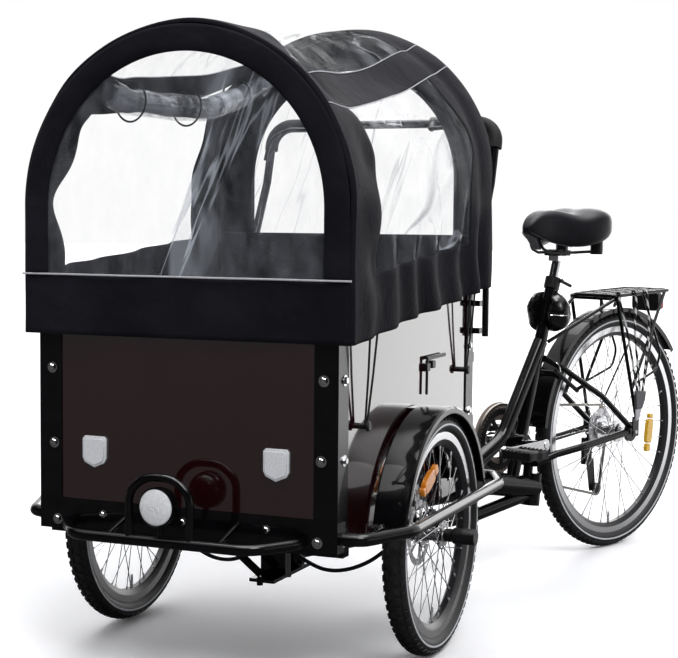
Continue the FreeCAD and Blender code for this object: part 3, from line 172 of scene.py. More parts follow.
def film(name, haze, glare, crease_glint_strength, seed=0.0):
    """Clear vinyl: nearly transparent, with a light haze, broad painted glare patches and thin darker grey lines
    along the crinkles, which are painted glints.
    """
    mat = bpy.data.materials.new(name)
    mat.use_nodes = True
    tree = mat.node_tree
    bsdf = tree.nodes["Principled BSDF"]
    bsdf.inputs["Roughness"].default_value = 0.15
    coords = tree.nodes.new("ShaderNodeTexCoord")
    place = tree.nodes.new("ShaderNodeMapping")
    place.inputs["Location"].default_value = (seed, seed * 2.0, -seed)
    place.inputs["Scale"].default_value = (1.0, 1.0, 0.45)
    tree.links.new(coords.outputs["Object"], place.inputs["Vector"])
    fine = node(tree, "ShaderNodeTexNoise", Scale=24.0, Detail=6.0, Roughness=0.6)
    slant = tree.nodes.new("ShaderNodeMapping")
    slant.vector_type = "TEXTURE"
    slant.inputs["Rotation"].default_value = (0.35, 0.75, 0.0)
    slant.inputs["Scale"].default_value = (0.30, 0.60, 3.2)
    tree.links.new(place.outputs["Vector"], slant.inputs["Vector"])
    crinkle = node(tree, "ShaderNodeTexNoise", Scale=2.4, Detail=4.0, Distortion=0.5)
    broad = node(tree, "ShaderNodeTexNoise", Scale=3.2, Detail=2.0, Distortion=1.4)
    for texture, source in ((fine, place), (crinkle, slant), (broad, place)):
        tree.links.new(source.outputs["Vector"], texture.inputs["Vector"])
    veil = ramp_of(tree, fine.outputs["Fac"], ((0.35, 0.012), (0.75, haze)))
    # painted glare: broad patches where the film turns partly opaque and pale, broken into streaks by the crinkles
    painted_glare = ramp_of(tree, broad.outputs["Fac"], ((0.56, 0.0), (0.64, glare)))
    painted_glare_streaks = combine(tree, "MULTIPLY", painted_glare, ramp_of(tree, crinkle.outputs["Fac"], ((0.46, 0.15), (0.56, 1.0))))
    # painted glints: thin darker grey lines along the crinkles, strongest at the painted glare patches
    painted_crease_glints = ramp_of(tree, crinkle.outputs["Fac"], ((0.548, 0.0), (0.556, crease_glint_strength), (0.566, 0.0)))
    edge = ramp_of(tree, broad.outputs["Fac"], ((0.44, 0.25), (0.60, 1.0)))
    painted_crease_glints = combine(tree, "MULTIPLY", painted_crease_glints, edge)
    alpha = combine(tree, "ADD", combine(tree, "ADD", veil, painted_glare_streaks), painted_crease_glints)
    tree.links.new(alpha, bsdf.inputs["Alpha"])
    tint = tree.nodes.new("ShaderNodeMix")
    tint.data_type = "RGBA"
    tint.inputs["A"].default_value = (0.80, 0.85, 0.95, 1)
    tint.inputs["B"].default_value = (0.45, 0.47, 0.55, 1)
    tree.links.new(painted_crease_glints, tint.inputs["Factor"])
    tree.links.new(tint.outputs["Result"], bsdf.inputs["Base Color"])
    relief = node(tree, "ShaderNodeBump", Strength=0.5, Distance=0.008)
    tree.links.new(crinkle.outputs["Fac"], relief.inputs["Height"])
    tree.links.new(relief.outputs["Normal"], bsdf.inputs["Normal"])
    return mat


def braid(name, pitch):
    """Black elastic cord with a white thread wound through it."""
    mat = surface(name, (0.006, 0.006, 0.007), (0.012, 0.012, 0.014), (0.6, 0.8), 80.0, bump=0.5, level=0.3)
    tree = mat.node_tree
    coords = next(n for n in tree.nodes if n.type == "TEX_COORD")
    wave = node(tree, "ShaderNodeTexWave", Scale=math.pi / 10 / pitch, Distortion=1.5, Detail=0.0)
    wave.bands_direction = "DIAGONAL"
    tree.links.new(coords.outputs["Object"], wave.inputs["Vector"])
    colour = ramp_of(tree, wave.outputs["Fac"], ((0.60, 0.008), (0.66, 0.72)))
    tree.links.new(colour, tree.nodes["Principled BSDF"].inputs["Base Color"])
    return mat


PAINT = surface("gloss_black", (0.0015, 0.0015, 0.002), (0.004, 0.004, 0.005), (0.20, 0.30), 30.0,
                bump=0.03, bump_scale=260.0, coat=0.5, coat_rough=0.03, level=0.1)
SATIN = surface("satin_black", (0.004, 0.004, 0.005), (0.010, 0.010, 0.012), (0.30, 0.45), 60.0, bump=0.1,
                bump_scale=500.0)
CHROME = surface("chrome_plate", (0.66, 0.66, 0.68), (0.80, 0.80, 0.82), (0.05, 0.12), 50.0, bump=0.02,
                 bump_scale=300.0, metal=1.0)
STEEL = surface("bare_steel", (0.52, 0.52, 0.54), (0.74, 0.74, 0.77), (0.20, 0.34), 90.0, bump=0.08,
                bump_scale=700.0, metal=0.45)
ALLOY = surface("rim_alloy", (0.62, 0.62, 0.64), (0.72, 0.72, 0.74), (0.14, 0.20), 12.0, bump=0.02,
                bump_scale=300.0, metal=1.0)
WELL = surface("rim_well", (0.012, 0.012, 0.014), (0.022, 0.022, 0.025), (0.30, 0.40), 12.0)
RUBBER = surface("tyre_rubber", (0.007, 0.007, 0.008), (0.018, 0.018, 0.020), (0.45, 0.70), 55.0, bump=0.5,
                 bump_scale=900.0)
STRIPE = surface("reflex_stripe", (0.62, 0.64, 0.67), (0.80, 0.82, 0.85), (0.35, 0.5), 120.0, bump=0.1)
PLASTIC = surface("moulded_black", (0.005, 0.005, 0.006), (0.012, 0.012, 0.014), (0.30, 0.45), 80.0, bump=0.2,
                  bump_scale=1200.0, level=0.4)
GRIP = surface("grip_rubber", (0.008, 0.008, 0.009), (0.02, 0.02, 0.022), (0.6, 0.8), 90.0, bump=0.6,
               bump_scale=420.0, level=0.3)
BOARD = surface("film_faced_ply", (0.0120, 0.0014, 0.0022), (0.0180, 0.0024, 0.0036), (0.06, 0.12), 9.0, bump=0.03,
                bump_scale=60.0, coat=1.0, coat_rough=0.04, ior=2.0, level=0.2)
VINYL = surface("saddle_vinyl", (0.005, 0.005, 0.008), (0.010, 0.010, 0.015), (0.36, 0.50), 60.0, bump=0.35,
                bump_scale=700.0, coat=0.12, coat_rough=0.30, level=0.2)
PATENT = surface("pouch_vinyl", (0.0015, 0.0015, 0.002), (0.004, 0.004, 0.005), (0.18, 0.34), 50.0, bump=0.4,
                 bump_scale=120.0, coat=0.6, coat_rough=0.12, level=0.4)
GREY = surface("grey_plastic", (0.055, 0.055, 0.065), (0.085, 0.085, 0.10), (0.35, 0.5), 80.0, bump=0.15,
               bump_scale=700.0)
CLOTH = woven("canopy_polyester", (0.0055, 0.0055, 0.0085), (0.0125, 0.0125, 0.0185), 0.0011)
WEBBING = woven("elastic_webbing", (0.006, 0.006, 0.007), (0.014, 0.014, 0.016), 0.0016, bump=0.5, fold=60.0)
BRAID = braid("braided_elastic", 0.016)
PIPING = surface("white_piping", (0.42, 0.42, 0.46), (0.62, 0.62, 0.66), (0.45, 0.6), 200.0, bump=0.3,
                 bump_scale=1500.0)
# arguments: haze, strength of the painted glare patches, strength of the painted crease glints
CLEAR = film("clear_vinyl", 0.07, 0.13, 0.50)
LENS = surface("lamp_glass", (0.70, 0.72, 0.75), (0.92, 0.93, 0.95), (0.05, 0.12), 120.0, bump=0.2,
               bump_scale=300.0, coat=1.0)
WHITE_LENS = surface("white_reflector", (0.62, 0.64, 0.68), (0.88, 0.89, 0.92), (0.08, 0.2), 300.0, bump=0.8,
                     bump_scale=420.0, coat=0.8)
AMBER = surface("amber_reflector", (0.75, 0.20, 0.01), (0.95, 0.36, 0.03), (0.1, 0.25), 300.0, bump=0.8,
                bump_scale=420.0, coat=0.8)
YELLOW = surface("yellow_reflector", (0.80, 0.42, 0.01), (0.95, 0.60, 0.04), (0.1, 0.25), 300.0, bump=0.8,
                 bump_scale=420.0, coat=0.8)
RED = surface("red_lens_plastic", (0.42, 0.006, 0.008), (0.70, 0.030, 0.034), (0.10, 0.25), 200.0, bump=0.6,
              bump_scale=420.0, coat=0.5)
GUARD = surface("chain_guard_plastic", (0.42, 0.34, 0.31), (0.55, 0.46, 0.42), (0.25, 0.4), 40.0, bump=0.1)
BRASSY = surface("chain_steel", (0.18, 0.16, 0.14), (0.42, 0.40, 0.37), (0.25, 0.45), 300.0, bump=0.4,
                 bump_scale=500.0, metal=1.0)


# ---------------------------------------------------------------- mesh building
class Shape:
    """Vertices and faces gathered from several simple forms, in metres."""

    def __init__(self):
        self.verts, self.faces = [], []

    def add(self, verts, faces):
        start = len(self.verts)
        self.verts += [Vector(v) for v in verts]
        self.faces += [tuple(start + i for i in f) for f in faces]
        return self

    def grid(self, rows, close_rows=False, close_cols=False):
        """Quads between rows of points."""
        n, m = len(rows), len(rows[0])
        faces = []
        for i in range(n if close_rows else n - 1):
            for j in range(m if close_cols else m - 1):
                a, b = i * m + j, i * m + (j + 1) % m
                c, d = ((i + 1) % n) * m + (j + 1) % m, ((i + 1) % n) * m + j
                faces.append((a, b, c, d))
        return self.add([p for row in rows for p in row], faces)

    def tube(self, points, radius, sides=10, caps=True, closed=False, flat=1.0, up=(0, 0, 1)):
        """Tube along points; flat squeezes it along its second axis, and radius may be a function of t."""
        pts = [Vector(p) for p in points]
        rows, side = [], None
        n = len(pts)
        for i, p in enumerate(pts):
            before = pts[i - 1] if i or closed else pts[i]
            after = pts[(i + 1) % n] if i < n - 1 or closed else pts[i]
            along = (after - before).normalized()
            if side is None:
                guide = Vector(up)
                if abs(along.dot(guide)) > 0.95:
                    guide = Vector((1, 0, 0))
                side = along.cross(guide).normalized()
            else:
                side = (side - along * side.dot(along)).normalized()
            other = along.cross(side)
            r = radius(i / (n - 1)) if callable(radius) else radius
            rows.append([p + side * (r * math.cos(a)) + other * (r * flat * math.sin(a))
                         for a in (2 * math.pi * k / sides for k in range(sides))])
        self.grid(rows, close_rows=closed, close_cols=True)
        if caps and not closed:
            base = len(self.verts) - n * sides
            self.faces.append(tuple(base + k for k in reversed(range(sides))))
            self.faces.append(tuple(base + (n - 1) * sides + k for k in range(sides)))
        return self

    def lathe(self, profile, centre, seg=96, start=0.0, sweep=360.0, closed=True):
        """Turn (across, radius) points about an X axis through centre; angles run from up towards +Y."""
        c = Vector(centre)
        full = abs(sweep - 360.0) < 1e-6
        count = seg if full else seg + 1
        rows = []
        for i in range(count):
            a = math.radians(start + sweep * i / seg)
            rows.append([c + Vector((x, r * math.sin(a), r * math.cos(a))) for x, r in profile])
        self.grid(rows, close_rows=full, close_cols=closed)
        if closed and not full:
            m = len(profile)
            base = len(self.verts) - count * m
            self.faces.append(tuple(base + k for k in reversed(range(m))))
            self.faces.append(tuple(base + (count - 1) * m + k for k in range(m)))
        return self

    def rod(self, a, b, radius, sides=12):
        return self.tube([a, b], radius, sides)

    def slab(self, lo, hi):
        (x0, y0, z0), (x1, y1, z1) = lo, hi
        verts = [(x, y, z) for x in (x0, x1) for y in (y0, y1) for z in (z0, z1)]
        return self.add(verts, [(0, 1, 3, 2), (4, 6, 7, 5), (0, 4, 5, 1), (2, 3, 7, 6), (0, 2, 6, 4), (1, 5, 7, 3)])

    def prism(self, outline, origin, right, up, depth):
        """Closed outline of (a, b) points extruded along right x up by depth."""
        o, r, u = Vector(origin), Vector(right).normalized(), Vector(up).normalized()
        out = r.cross(u) * depth
        n = len(outline)
        low = [o + r * a + u * b for a, b in outline]
        return self.add(low + [p + out for p in low],
                        [tuple(reversed(range(n))), tuple(range(n, 2 * n))]
                        + [(i, (i + 1) % n, n + (i + 1) % n, n + i) for i in range(n)])

    def bolt(self, at, normal, head=0.0075, thick=0.005):
        """Hexagon head on a washer."""
        p, n = Vector(at), Vector(normal).normalized()
        self.tube([p, p + n * 0.0014], head * 1.45, 20, up=(0.3, 0.2, 0.9))
        self.tube([p + n * 0.001, p + n * thick, p + n * (thick + 0.0012)],
                  lambda t: head if t < 0.9 else head * 0.8, 6, up=(0.3, 0.2, 0.9))
        return self


def piece(name, shape, mat, body, place=BOX, bevel=0.0, subdivide=0, smooth=True, thick=0.0,
          replaces=()):
    """Makes an object from a Shape, in the row frame, riding on a body."""
    mesh = bpy.data.meshes.new(name)
    mesh.from_pydata([place @ v for v in shape.verts], [], shape.faces)
    mesh.validate()
    mesh.update()
    obj = bpy.data.objects.new(name, mesh)
    bpy.context.scene.collection.objects.link(obj)
    mesh.materials.append(mat)
    for poly in mesh.polygons:
        poly.use_smooth = smooth
    if thick:
        shell = obj.modifiers.new("thickness", "SOLIDIFY")
        shell.thickness = thick
        shell.offset = 0.0
    if bevel:
        edge = obj.modifiers.new("edges", "BEVEL")
        edge.width = bevel
        edge.segments = 2
        edge.limit_method = "ANGLE"
        edge.angle_limit = math.radians(40)
    if subdivide:
        smoother = obj.modifiers.new("smooth", "SUBSURF")
        smoother.levels = smoother.render_levels = subdivide
    if smooth:
        mesh.set_sharp_from_angle(angle=math.radians(38))
    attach(obj, body)
    if replaces:
        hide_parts(*replaces)
    return obj


def smooth_line(points, per=8):
    """Catmull-Rom curve through points."""
    pts = [Vector(p) for p in points]
    pts = [pts[0] * 2 - pts[1]] + pts + [pts[-1] * 2 - pts[-2]]
    out = []
    for i in range(1, len(pts) - 2):
        p0, p1, p2, p3 = pts[i - 1:i + 3]
        for k in range(per):
            t = k / per
            out.append(0.5 * ((2 * p1) + (p2 - p0) * t + (2 * p0 - 5 * p1 + 4 * p2 - p3) * t * t
                              + (3 * p1 - 3 * p2 + p3 - p0) * t ** 3))
    out.append(pts[-2])
    return out


# ---------------------------------------------------------------- CAD nodes that stay
for names, mat in (
        (("main_frame", "rear_triangle", "box_frame", "under_frame", "side_guards", "bumper", "rear_rack",
          "rear_fender", "canopy_hoops", "handlebar"), PAINT),
        (("floor_panel", "side_panels", "end_panels"), BOARD),
        (("seat_clamp", "brake_calipers", "brake_levers", "rear_brake", "saddle_springs", "derailleur"), PLASTIC),
        (("grips",), GRIP), (("seat_post",), CHROME), (("rear_axle", "sprockets"), STEEL),
        (("front_spindles",), SATIN),
        (("chain",), BRASSY)):
    for node_name in names:
        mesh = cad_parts[node_name].data
        mesh.materials.clear()
        mesh.materials.append(mat)
        for poly in mesh.polygons:
            poly.material_index = 0


# ---------------------------------------------------------------- wheels
def tyre_shape(centre, radius, width):
    seat = radius - TYRE_WALL
    crown = radius - 0.0032
    mid = (seat + crown) / 2
    half_h = (crown - seat) / 2
    half = width / 2 - 0.001
    profile = []
    for k in range(25):
        a = math.radians(-152 + 304 * k / 24)
        profile.append((half * math.sin(a) * (1.0 if abs(math.cos(a)) < 0.9 else 0.97), mid + half_h * math.cos(a)))
    shape = Shape().lathe(profile, centre, seg=160)
    c = Vector(centre)
    count = int(2 * math.pi * radius / 0.0235)
    for row, (lean, reach) in enumerate(((-52, 0.0062), (-19, 0.0060), (19, 0.0060), (52, 0.0062))):
        for i in range(count):
            turn = 2 * math.pi * (i + (0.5 if row % 2 else 0.0)) / count
            w = math.pi / count * 0.62
            quad_low, quad_top = [], []
            for da, dt in ((-1, -1), (1, -1), (1, 1), (-1, 1)):
                a = math.radians(lean + da * reach / (half * 0.9) * 57.3 * 0.62)
                t = turn + dt * w + (0.35 * w * da if lean < 0 else -0.35 * w * da)
                for lift, store in ((-0.001, quad_low), (0.0032, quad_top)):
                    x = (half + lift * 0.9) * math.sin(a)
                    r = mid + (half_h + lift) * math.cos(a)
                    store.append(c + Vector((x, r * math.sin(t), r * math.cos(t))))
            shape.add(quad_low + quad_top, [(4, 5, 6, 7), (0, 1, 5, 4), (1, 2, 6, 5), (2, 3, 7, 6), (3, 0, 4, 7)])
    return shape


def stripe_shape(centre, radius, width):
    seat = radius - TYRE_WALL
    mid, half_h, half = seat + 0.0194, 0.0194, width / 2 - 0.001
    shape = Shape()
    for side in (-1, 1):
        strip = []
        for a in (math.radians(s) for s in (84, 88, 92, 95)):
            strip.append((side * (half + 0.0007) * math.sin(a), mid + (half_h + 0.0007) * math.cos(a)))
        strip += [(x - side * 0.0012, r) for x, r in reversed(strip)]
        shape.lathe(strip if side > 0 else list(reversed(strip)), centre, seg=160)
    return shape


def rim_shapes(centre, radius, width, depth):
    seat = radius - TYRE_WALL
    half = width * 0.30
    band = Shape().lathe([(-half, seat + 0.004), (-half - 0.0008, seat + 0.003), (-half, seat - 0.0125),
                          (half, seat - 0.0125), (half + 0.0008, seat + 0.003), (half, seat + 0.004)],
                         centre, seg=144)
    well = Shape().lathe([(-half + 0.0002, seat - 0.0122), (-half * 0.85, seat - depth * 0.7),
                          (-half * 0.45, seat - depth), (half * 0.45, seat - depth),
                          (half * 0.85, seat - depth * 0.7), (half - 0.0002, seat - 0.0122)], centre, seg=144)
    return band, well


def spoke_shape(centre, hub_r, flange_x, rim_r, rim_dx, count=36):
    c = Vector(centre)
    spokes, nipples = Shape(), Shape()
    per_side = count // 2
    for side in (-1, 1):
        for i in range(per_side):
            lean = 1 if i % 2 else -1
            rim_a = 2 * math.pi * (i + (0.5 if side > 0 else 0.0)) / per_side
            hub_a = rim_a + lean * math.radians(58.0)
            inset = 0.0019 * lean
            foot = c + Vector((side * flange_x + inset, hub_r * math.sin(hub_a), hub_r * math.cos(hub_a)))
            head = c + Vector((side * rim_dx + inset, rim_r * math.sin(rim_a), rim_r * math.cos(rim_a)))
            spokes.rod(foot, head, 0.0011, 6)
            spokes.rod(foot - Vector((0.002 * lean, 0, 0)), foot + Vector((0.002 * lean, 0, 0)), 0.002, 6)
            nipples.rod(head - (head - foot).normalized() * 0.012, head, 0.0021, 6)
    return spokes, nipples


def hub_shape(centre, half, barrel_r, flange_r):
    f = half - 0.007
    profile = [(-half, 0.009), (-half, 0.0125), (-half + 0.002, barrel_r * 0.9), (-f - 0.003, barrel_r),
               (-f - 0.0025, flange_r), (-f + 0.0025, flange_r), (-f + 0.003, barrel_r),
               (-f + 0.010, barrel_r * 0.86), (f - 0.010, barrel_r * 0.86), (f - 0.003, barrel_r),
               (f - 0.0025, flange_r), (f + 0.0025, flange_r), (f + 0.003, barrel_r),
               (half - 0.002, barrel_r * 0.9), (half, 0.0125), (half, 0.009)]
    return Shape().lathe(profile, centre, seg=48)


def reflector_shape(centre, at_r, angle, length, height, x):
    """Spoke reflector across the spokes, at an angle from straight up towards +Y: a long lens between two ends."""
    a = math.radians(angle)
    c = Vector(centre)
    radial = Vector((0, math.sin(a), math.cos(a)))
    tangent = Vector((0, math.cos(a), -math.sin(a)))
    shape = Shape()
    for low, high, wide in ((-0.5, -0.37, 0.62), (-0.36, 0.28, 1.0), (0.29, 0.5, 0.66)):
        middle, half = (low + high) / 2 * length, (high - low) / 2 * length
        outline = []
        for k in range(20):
            t = 2 * math.pi * k / 20
            outline.append((middle + half * math.copysign(abs(math.cos(t)) ** 0.5, math.cos(t)),
                            wide * height / 2 * math.copysign(abs(math.sin(t)) ** 0.5, math.sin(t))))
        shape.prism(outline, c + radial * at_r + Vector((x - 0.006, 0, 0)), tangent, radial, 0.012)
    return shape


def wheel(tag, body, place, centre, radius, width, depth, hub_half, hub_r, reflector, nodes, slots):
    tyre_node, rim_node = nodes
    piece(tag + "_tyre", tyre_shape(centre, radius, width), RUBBER, body, place, replaces=[tyre_node])
    piece(tag + "_tyre_stripe", stripe_shape(centre, radius, width), STRIPE, body, place)
    band, well = rim_shapes(centre, radius, width, depth)
    piece(tag + "_rim", band, ALLOY, body, place, replaces=[rim_node])
    piece(tag + "_rim_well", well, WELL, body, place)
    seat = radius - TYRE_WALL
    spokes, nipples = spoke_shape(centre, hub_r + 0.011, hub_half - 0.007, seat - depth + 0.004, 0.0035)
    piece(tag + "_spokes", spokes, CHROME, body, place)
    piece(tag + "_nipples", nipples, STEEL, body, place)
    piece(tag + "_hub", hub_shape(centre, hub_half, hub_r, hub_r + 0.014), ALLOY, body, place)
    angle, mat, at_r, x, length, height = reflector
    piece(tag + "_reflector", reflector_shape(centre, at_r, angle, length, height, x), mat, body, place,
          bevel=0.0015)
    valve = Shape().rod(Vector(centre) + Vector((0, 0, -(seat - depth - 0.030))),
                        Vector(centre) + Vector((0, 0, -(seat - depth + 0.002))), 0.003, 8)
    piece(tag + "_valve", valve, STEEL, body, place)


for word, side in (("left", 1), ("right", -1)):
    hub = (side * TRACK_X, 0, FRONT_R)
    body = "front_wheel_" + word
    wheel("front_" + word, body, BOX, hub, FRONT_R, FRONT_TYRE_W, 0.026, 0.028, 0.017,
          (-26.0, AMBER, 0.139, side * 0.010, 0.098, 0.030), ("front_tyre_" + word, "front_rim_" + word), None)
    inner = side * (TRACK_X - 0.0315)
    disc = Shape().lathe([(inner - 0.001, 0.056), (inner - 0.001, 0.070), (inner + 0.001, 0.070),
                          (inner + 0.001, 0.056)], (0, 0, FRONT_R), seg=72)
    for i in range(6):
        a = 2 * math.pi * i / 6
        disc.prism([(-0.005, 0.016), (0.005, 0.016), (0.0035, 0.058), (-0.0035, 0.058)],
                   (inner + 0.001, 0, FRONT_R), (0, math.cos(a), -math.sin(a)), (0, math.sin(a), math.cos(a)), 0.002)
    disc.lathe([(inner - 0.001, 0.0105), (inner - 0.001, 0.022), (inner + 0.003 * side, 0.022),
                (inner + 0.003 * side, 0.0105)], (0, 0, FRONT_R), seg=32)
    piece("front_" + word + "_brake_disc", disc, STEEL, body, BOX)
wheel("rear", "rear_wheel", REAR, (0, REAR_AXLE_Y, REAR_R), REAR_R, REAR_TYRE_W, 0.024, 0.033, 0.020,
      (98.0, YELLOW, 0.179, 0.012, 0.112, 0.028), ("rear_tyre", "rear_rim"), None)


# ---------------------------------------------------------------- canopy
ARC = math.pi * CANOPY_HALF
STRAIGHT = SPRING_Z - HEM_Z
SECTION = 2 * STRAIGHT + ARC


def ease(t):
    t = min(max(t, 0.0), 1.0)
    return t * t * (3 - 2 * t)


def section(u):
    """Point and outward normal (x, z) of the canopy's cross-section, u metres from the left hem."""
    if u < STRAIGHT:
        return (CANOPY_HALF, HEM_Z + u), (1.0, 0.0)
    if u > STRAIGHT + ARC:
        return (-CANOPY_HALF, SPRING_Z - (u - STRAIGHT - ARC)), (-1.0, 0.0)
    a = (u - STRAIGHT) / CANOPY_HALF
    return (CANOPY_HALF * math.cos(a), SPRING_Z + CANOPY_HALF * math.sin(a)), (math.cos(a), math.sin(a))


def arc_u(degrees):
    return STRAIGHT + math.radians(degrees) * CANOPY_HALF


def band_angles(v):
    """Angles of the shoulder band's lower and upper edge, which climb towards the rear hoop."""
    t = min(max((v - 0.10) / 0.90, 0.0), 1.0)
    return 33.0 + 14.6 * t, 51.5 + 10.7 * t


def skin(u, y):
    """A point of the canopy's skin: between the two hoops it sags, and near its free edges it waves."""
    (x, z), (nx, nz) = section(u)
    v = (y - CANOPY_Y0) / CANOPY_LEN
    z += CANOPY_RISE * v
    up = max(0.0, nz)
    across = min(u, SECTION - u)
    span = math.sin(math.pi * min(max((v - 0.03) / 0.94, 0.0), 1.0)) ** 1.3
    low_angle, high_angle = band_angles(v)
    slack = ease(v / 0.16) * ease((1 - v) / 0.45)
    shoulder = math.exp(-((across - arc_u((low_angle + high_angle) / 2)) / 0.10) ** 2)
    sag = 0.008 * span + 0.027 * slack * shoulder + 0.012 * span * up
    wave = noise.noise(Vector((u * 7.0, y * 5.0, 3.1))) * 0.012 * (0.35 + span * 0.65)
    low = ease((STRAIGHT + 0.04 - across) / 0.20)
    pleat = (0.005 + 0.006 * v) * low * math.sin(y * 46.0 + 3.0 * noise.noise(Vector((u * 6, y * 3, 0)))) \
        * ease(v * 8) * ease((1 - v) * 10)
    edge_front = math.exp(-((y - CANOPY_Y0 - FRONT_BAND * 0.8) / 0.05) ** 2)
    edge_rear = math.exp(-((CANOPY_Y0 + CANOPY_LEN - REAR_BAND * 0.55 - y) / 0.03) ** 2)
    ripple = 0.010 * edge_front * math.sin(across * 30.0 + 0.6) * ease(across * 6) - 0.007 * edge_rear
    d = -sag + wave + pleat + ripple
    rim = min(v, 1 - v) * CANOPY_LEN
    if rim < 0.008:
        d -= 0.008 - math.sqrt(max(0.0, 0.008 ** 2 - (0.008 - rim) ** 2))
    return Vector((x + nx * d, y, z + nz * d - 0.014 * slack * shoulder))


def front_edge(u):
    """Where the front band ends: a wavy line behind the front hoop."""
    across = min(u, SECTION - u)
    top = ease((across - arc_u(30)) / 0.14)
    wavy = 0.014 * math.sin(across * 19.0 + 0.4) + 0.008 * math.sin(across * 41.0)
    return CANOPY_Y0 + FRONT_BAND * (1 - 0.50 * top) + wavy * (1 - 0.6 * top)


def rear_edge(u):
    across = min(u, SECTION - u)
    top = ease((across - arc_u(40)) / 0.12)
    wavy = 0.015 * math.sin(across * 17.0 + 2.1) + 0.009 * math.sin(across * 37.0 + 1.0)
    return CANOPY_Y0 + CANOPY_LEN - REAR_BAND * (1 - 0.15 * top) + wavy * (1 - 0.5 * top)


CELLS_U = [14, 46, 12, 46, 12, 46, 14]
CELLS_Y = [16, 64, 18]


def cuts_u(v):
    """Where the skirt, the windows and the shoulder bands meet, round the section at a share of the length."""
    low, high = band_angles(v)
    left = [0.0, SKIRT, arc_u(low), arc_u(high)]
    return left + [SECTION - u for u in reversed(left)]


def grid_points():
    """The skin's structured grid: one list of rows from front to rear, and the block of each cell."""
    shares = [(k, i / cells) for k, cells in enumerate(CELLS_U) for i in range(cells)] + [(len(CELLS_U) - 1, 1.0)]
    rows, row_block = [], []
    for block, cells in enumerate(CELLS_Y):
        for j in range(cells + (1 if block == len(CELLS_Y) - 1 else 0)):
            t = j / cells
            row = []
            for k, share in shares:
                v = 0.5
                for _ in range(3):
                    cuts = cuts_u(v)
                    u = cuts[k] + (cuts[k + 1] - cuts[k]) * share
                    stops = [CANOPY_Y0, front_edge(u), rear_edge(u), CANOPY_Y0 + CANOPY_LEN]
                    y = stops[block] + (stops[block + 1] - stops[block]) * t
                    v = (y - CANOPY_Y0) / CANOPY_LEN
                row.append(skin(u, y))
            rows.append(row)
            row_block.append(block)
    return rows, row_block, [k for k, _ in shares]


rows, row_block, col_block = grid_points()
WINDOWS = {1: "left_window", 3: "roof_window", 5: "right_window"}


def part_of_grid(keep):
    """Shape of the cells that keep(row block, column block) accepts, sharing their corners."""
    shape, index = Shape(), {}
    for j in range(len(rows) - 1):
        for i in range(len(rows[0]) - 1):
            if keep(row_block[j], col_block[i]):
                corner = []
                for jj, ii in ((j, i), (j, i + 1), (j + 1, i + 1), (j + 1, i)):
                    if (jj, ii) not in index:
                        index[jj, ii] = len(shape.verts)
                        shape.verts.append(rows[jj][ii])
                    corner.append(index[jj, ii])
                shape.faces.append(tuple(reversed(corner)))
    return shape


def end_wall(y, rise, band, out):
    """Flat end wall round its window: the border of the arch and the skirt below the sill."""
    steps = 150
    inner_half = CANOPY_HALF - band
    shape = Shape()
    ring = []
    for k in range(steps + 1):
        u = SKIRT + (SECTION - 2 * SKIRT) * k / steps
        (x, z), (nx, nz) = section(u)
        inner_arc = math.pi * inner_half
        if u < STRAIGHT:
            ix, iz = inner_half, HEM_Z + u
        elif u > STRAIGHT + ARC:
            ix, iz = -inner_half, SPRING_Z - (u - STRAIGHT - ARC)
        else:
            a = (u - STRAIGHT) / CANOPY_HALF
            ix, iz = inner_half * math.cos(a), SPRING_Z + inner_half * math.sin(a)
        row = []
        for m in range(9):
            t = m / 8
            px = x - nx * 0.008 + (ix - x + nx * 0.008) * t
            pz = z - nz * 0.008 + (iz - z + nz * 0.008) * t
            swell = 0.004 * math.sin(math.pi * t) + 0.004 * noise.noise(Vector((px * 9, y, pz * 9))) * math.sin(
                math.pi * min(1.0, t * 1.4))
            row.append(Vector((px, y + out * swell, pz + rise)))
        ring.append(row)
    shape.grid(ring)
    skirt = []
    for k in range(61):
        x = (CANOPY_HALF - 0.008) * (1 - 2 * k / 60)
        row = []
        for m in range(13):
            t = m / 12
            z = HEM_Z + SKIRT * t
            flow = 0.007 * noise.noise(Vector((x * 5 + 4, z * 3, 1))) + 0.003 * math.sin(x * 21 + z * 9) * (1 - t)
            row.append(Vector((x, y + out * flow * min(1.0, 12 * (1 - abs(x) / CANOPY_HALF)), z + rise)))
        skirt.append(row)
    return shape.grid(skirt)


fabric = part_of_grid(lambda r, c: r != 1 or c not in WINDOWS)
piece("canopy_shell", fabric, CLOTH, "carriage", BOX, thick=0.0016, replaces=["canopy_cover"])
front_wall = end_wall(CANOPY_Y0, 0.0, 0.060, -1)
rear_wall = end_wall(CANOPY_Y0 + CANOPY_LEN, CANOPY_RISE, 0.098, 1)
piece("canopy_front_wall", front_wall, CLOTH, "carriage", BOX, thick=0.0016,
      replaces=["canopy_ends"])
piece("canopy_rear_wall", rear_wall, CLOTH, "carriage", BOX, thick=0.0016)


def end_film(y, rise, band, out):
    """Clear sheet of an end window, slightly bulged."""
    half = CANOPY_HALF - band + 0.006
    sill = HEM_Z + SKIRT - 0.006
    shape_rows = []
    for k in range(49):
        x = half * (2 * k / 48 - 1) * 0.9999
        top = SPRING_Z + math.sqrt(max(0.0, half ** 2 - x ** 2))
        row = []
        for m in range(41):
            t = m / 40
            z = sill + (top - sill) * t
            bulge = 0.006 * noise.noise(Vector((x * 4, z * 4, y))) * math.sin(math.pi * t)
            row.append(Vector((x, y - out * 0.0035 + out * bulge, z + rise)))
        shape_rows.append(row)
    return Shape().grid(shape_rows)


windows = part_of_grid(lambda r, c: r == 1 and c in (1, 3))
piece("window_side_roof", windows, CLEAR, "carriage", BOX, thick=0.0008, replaces=["canopy_windows"])
piece("window_front", end_film(CANOPY_Y0, 0.0, 0.060, -1), CLEAR, "carriage", BOX, thick=0.0008)
piece("window_rear", end_film(CANOPY_Y0 + CANOPY_LEN, CANOPY_RISE, 0.098, 1), CLEAR, "carriage", BOX,
      thick=0.0008)

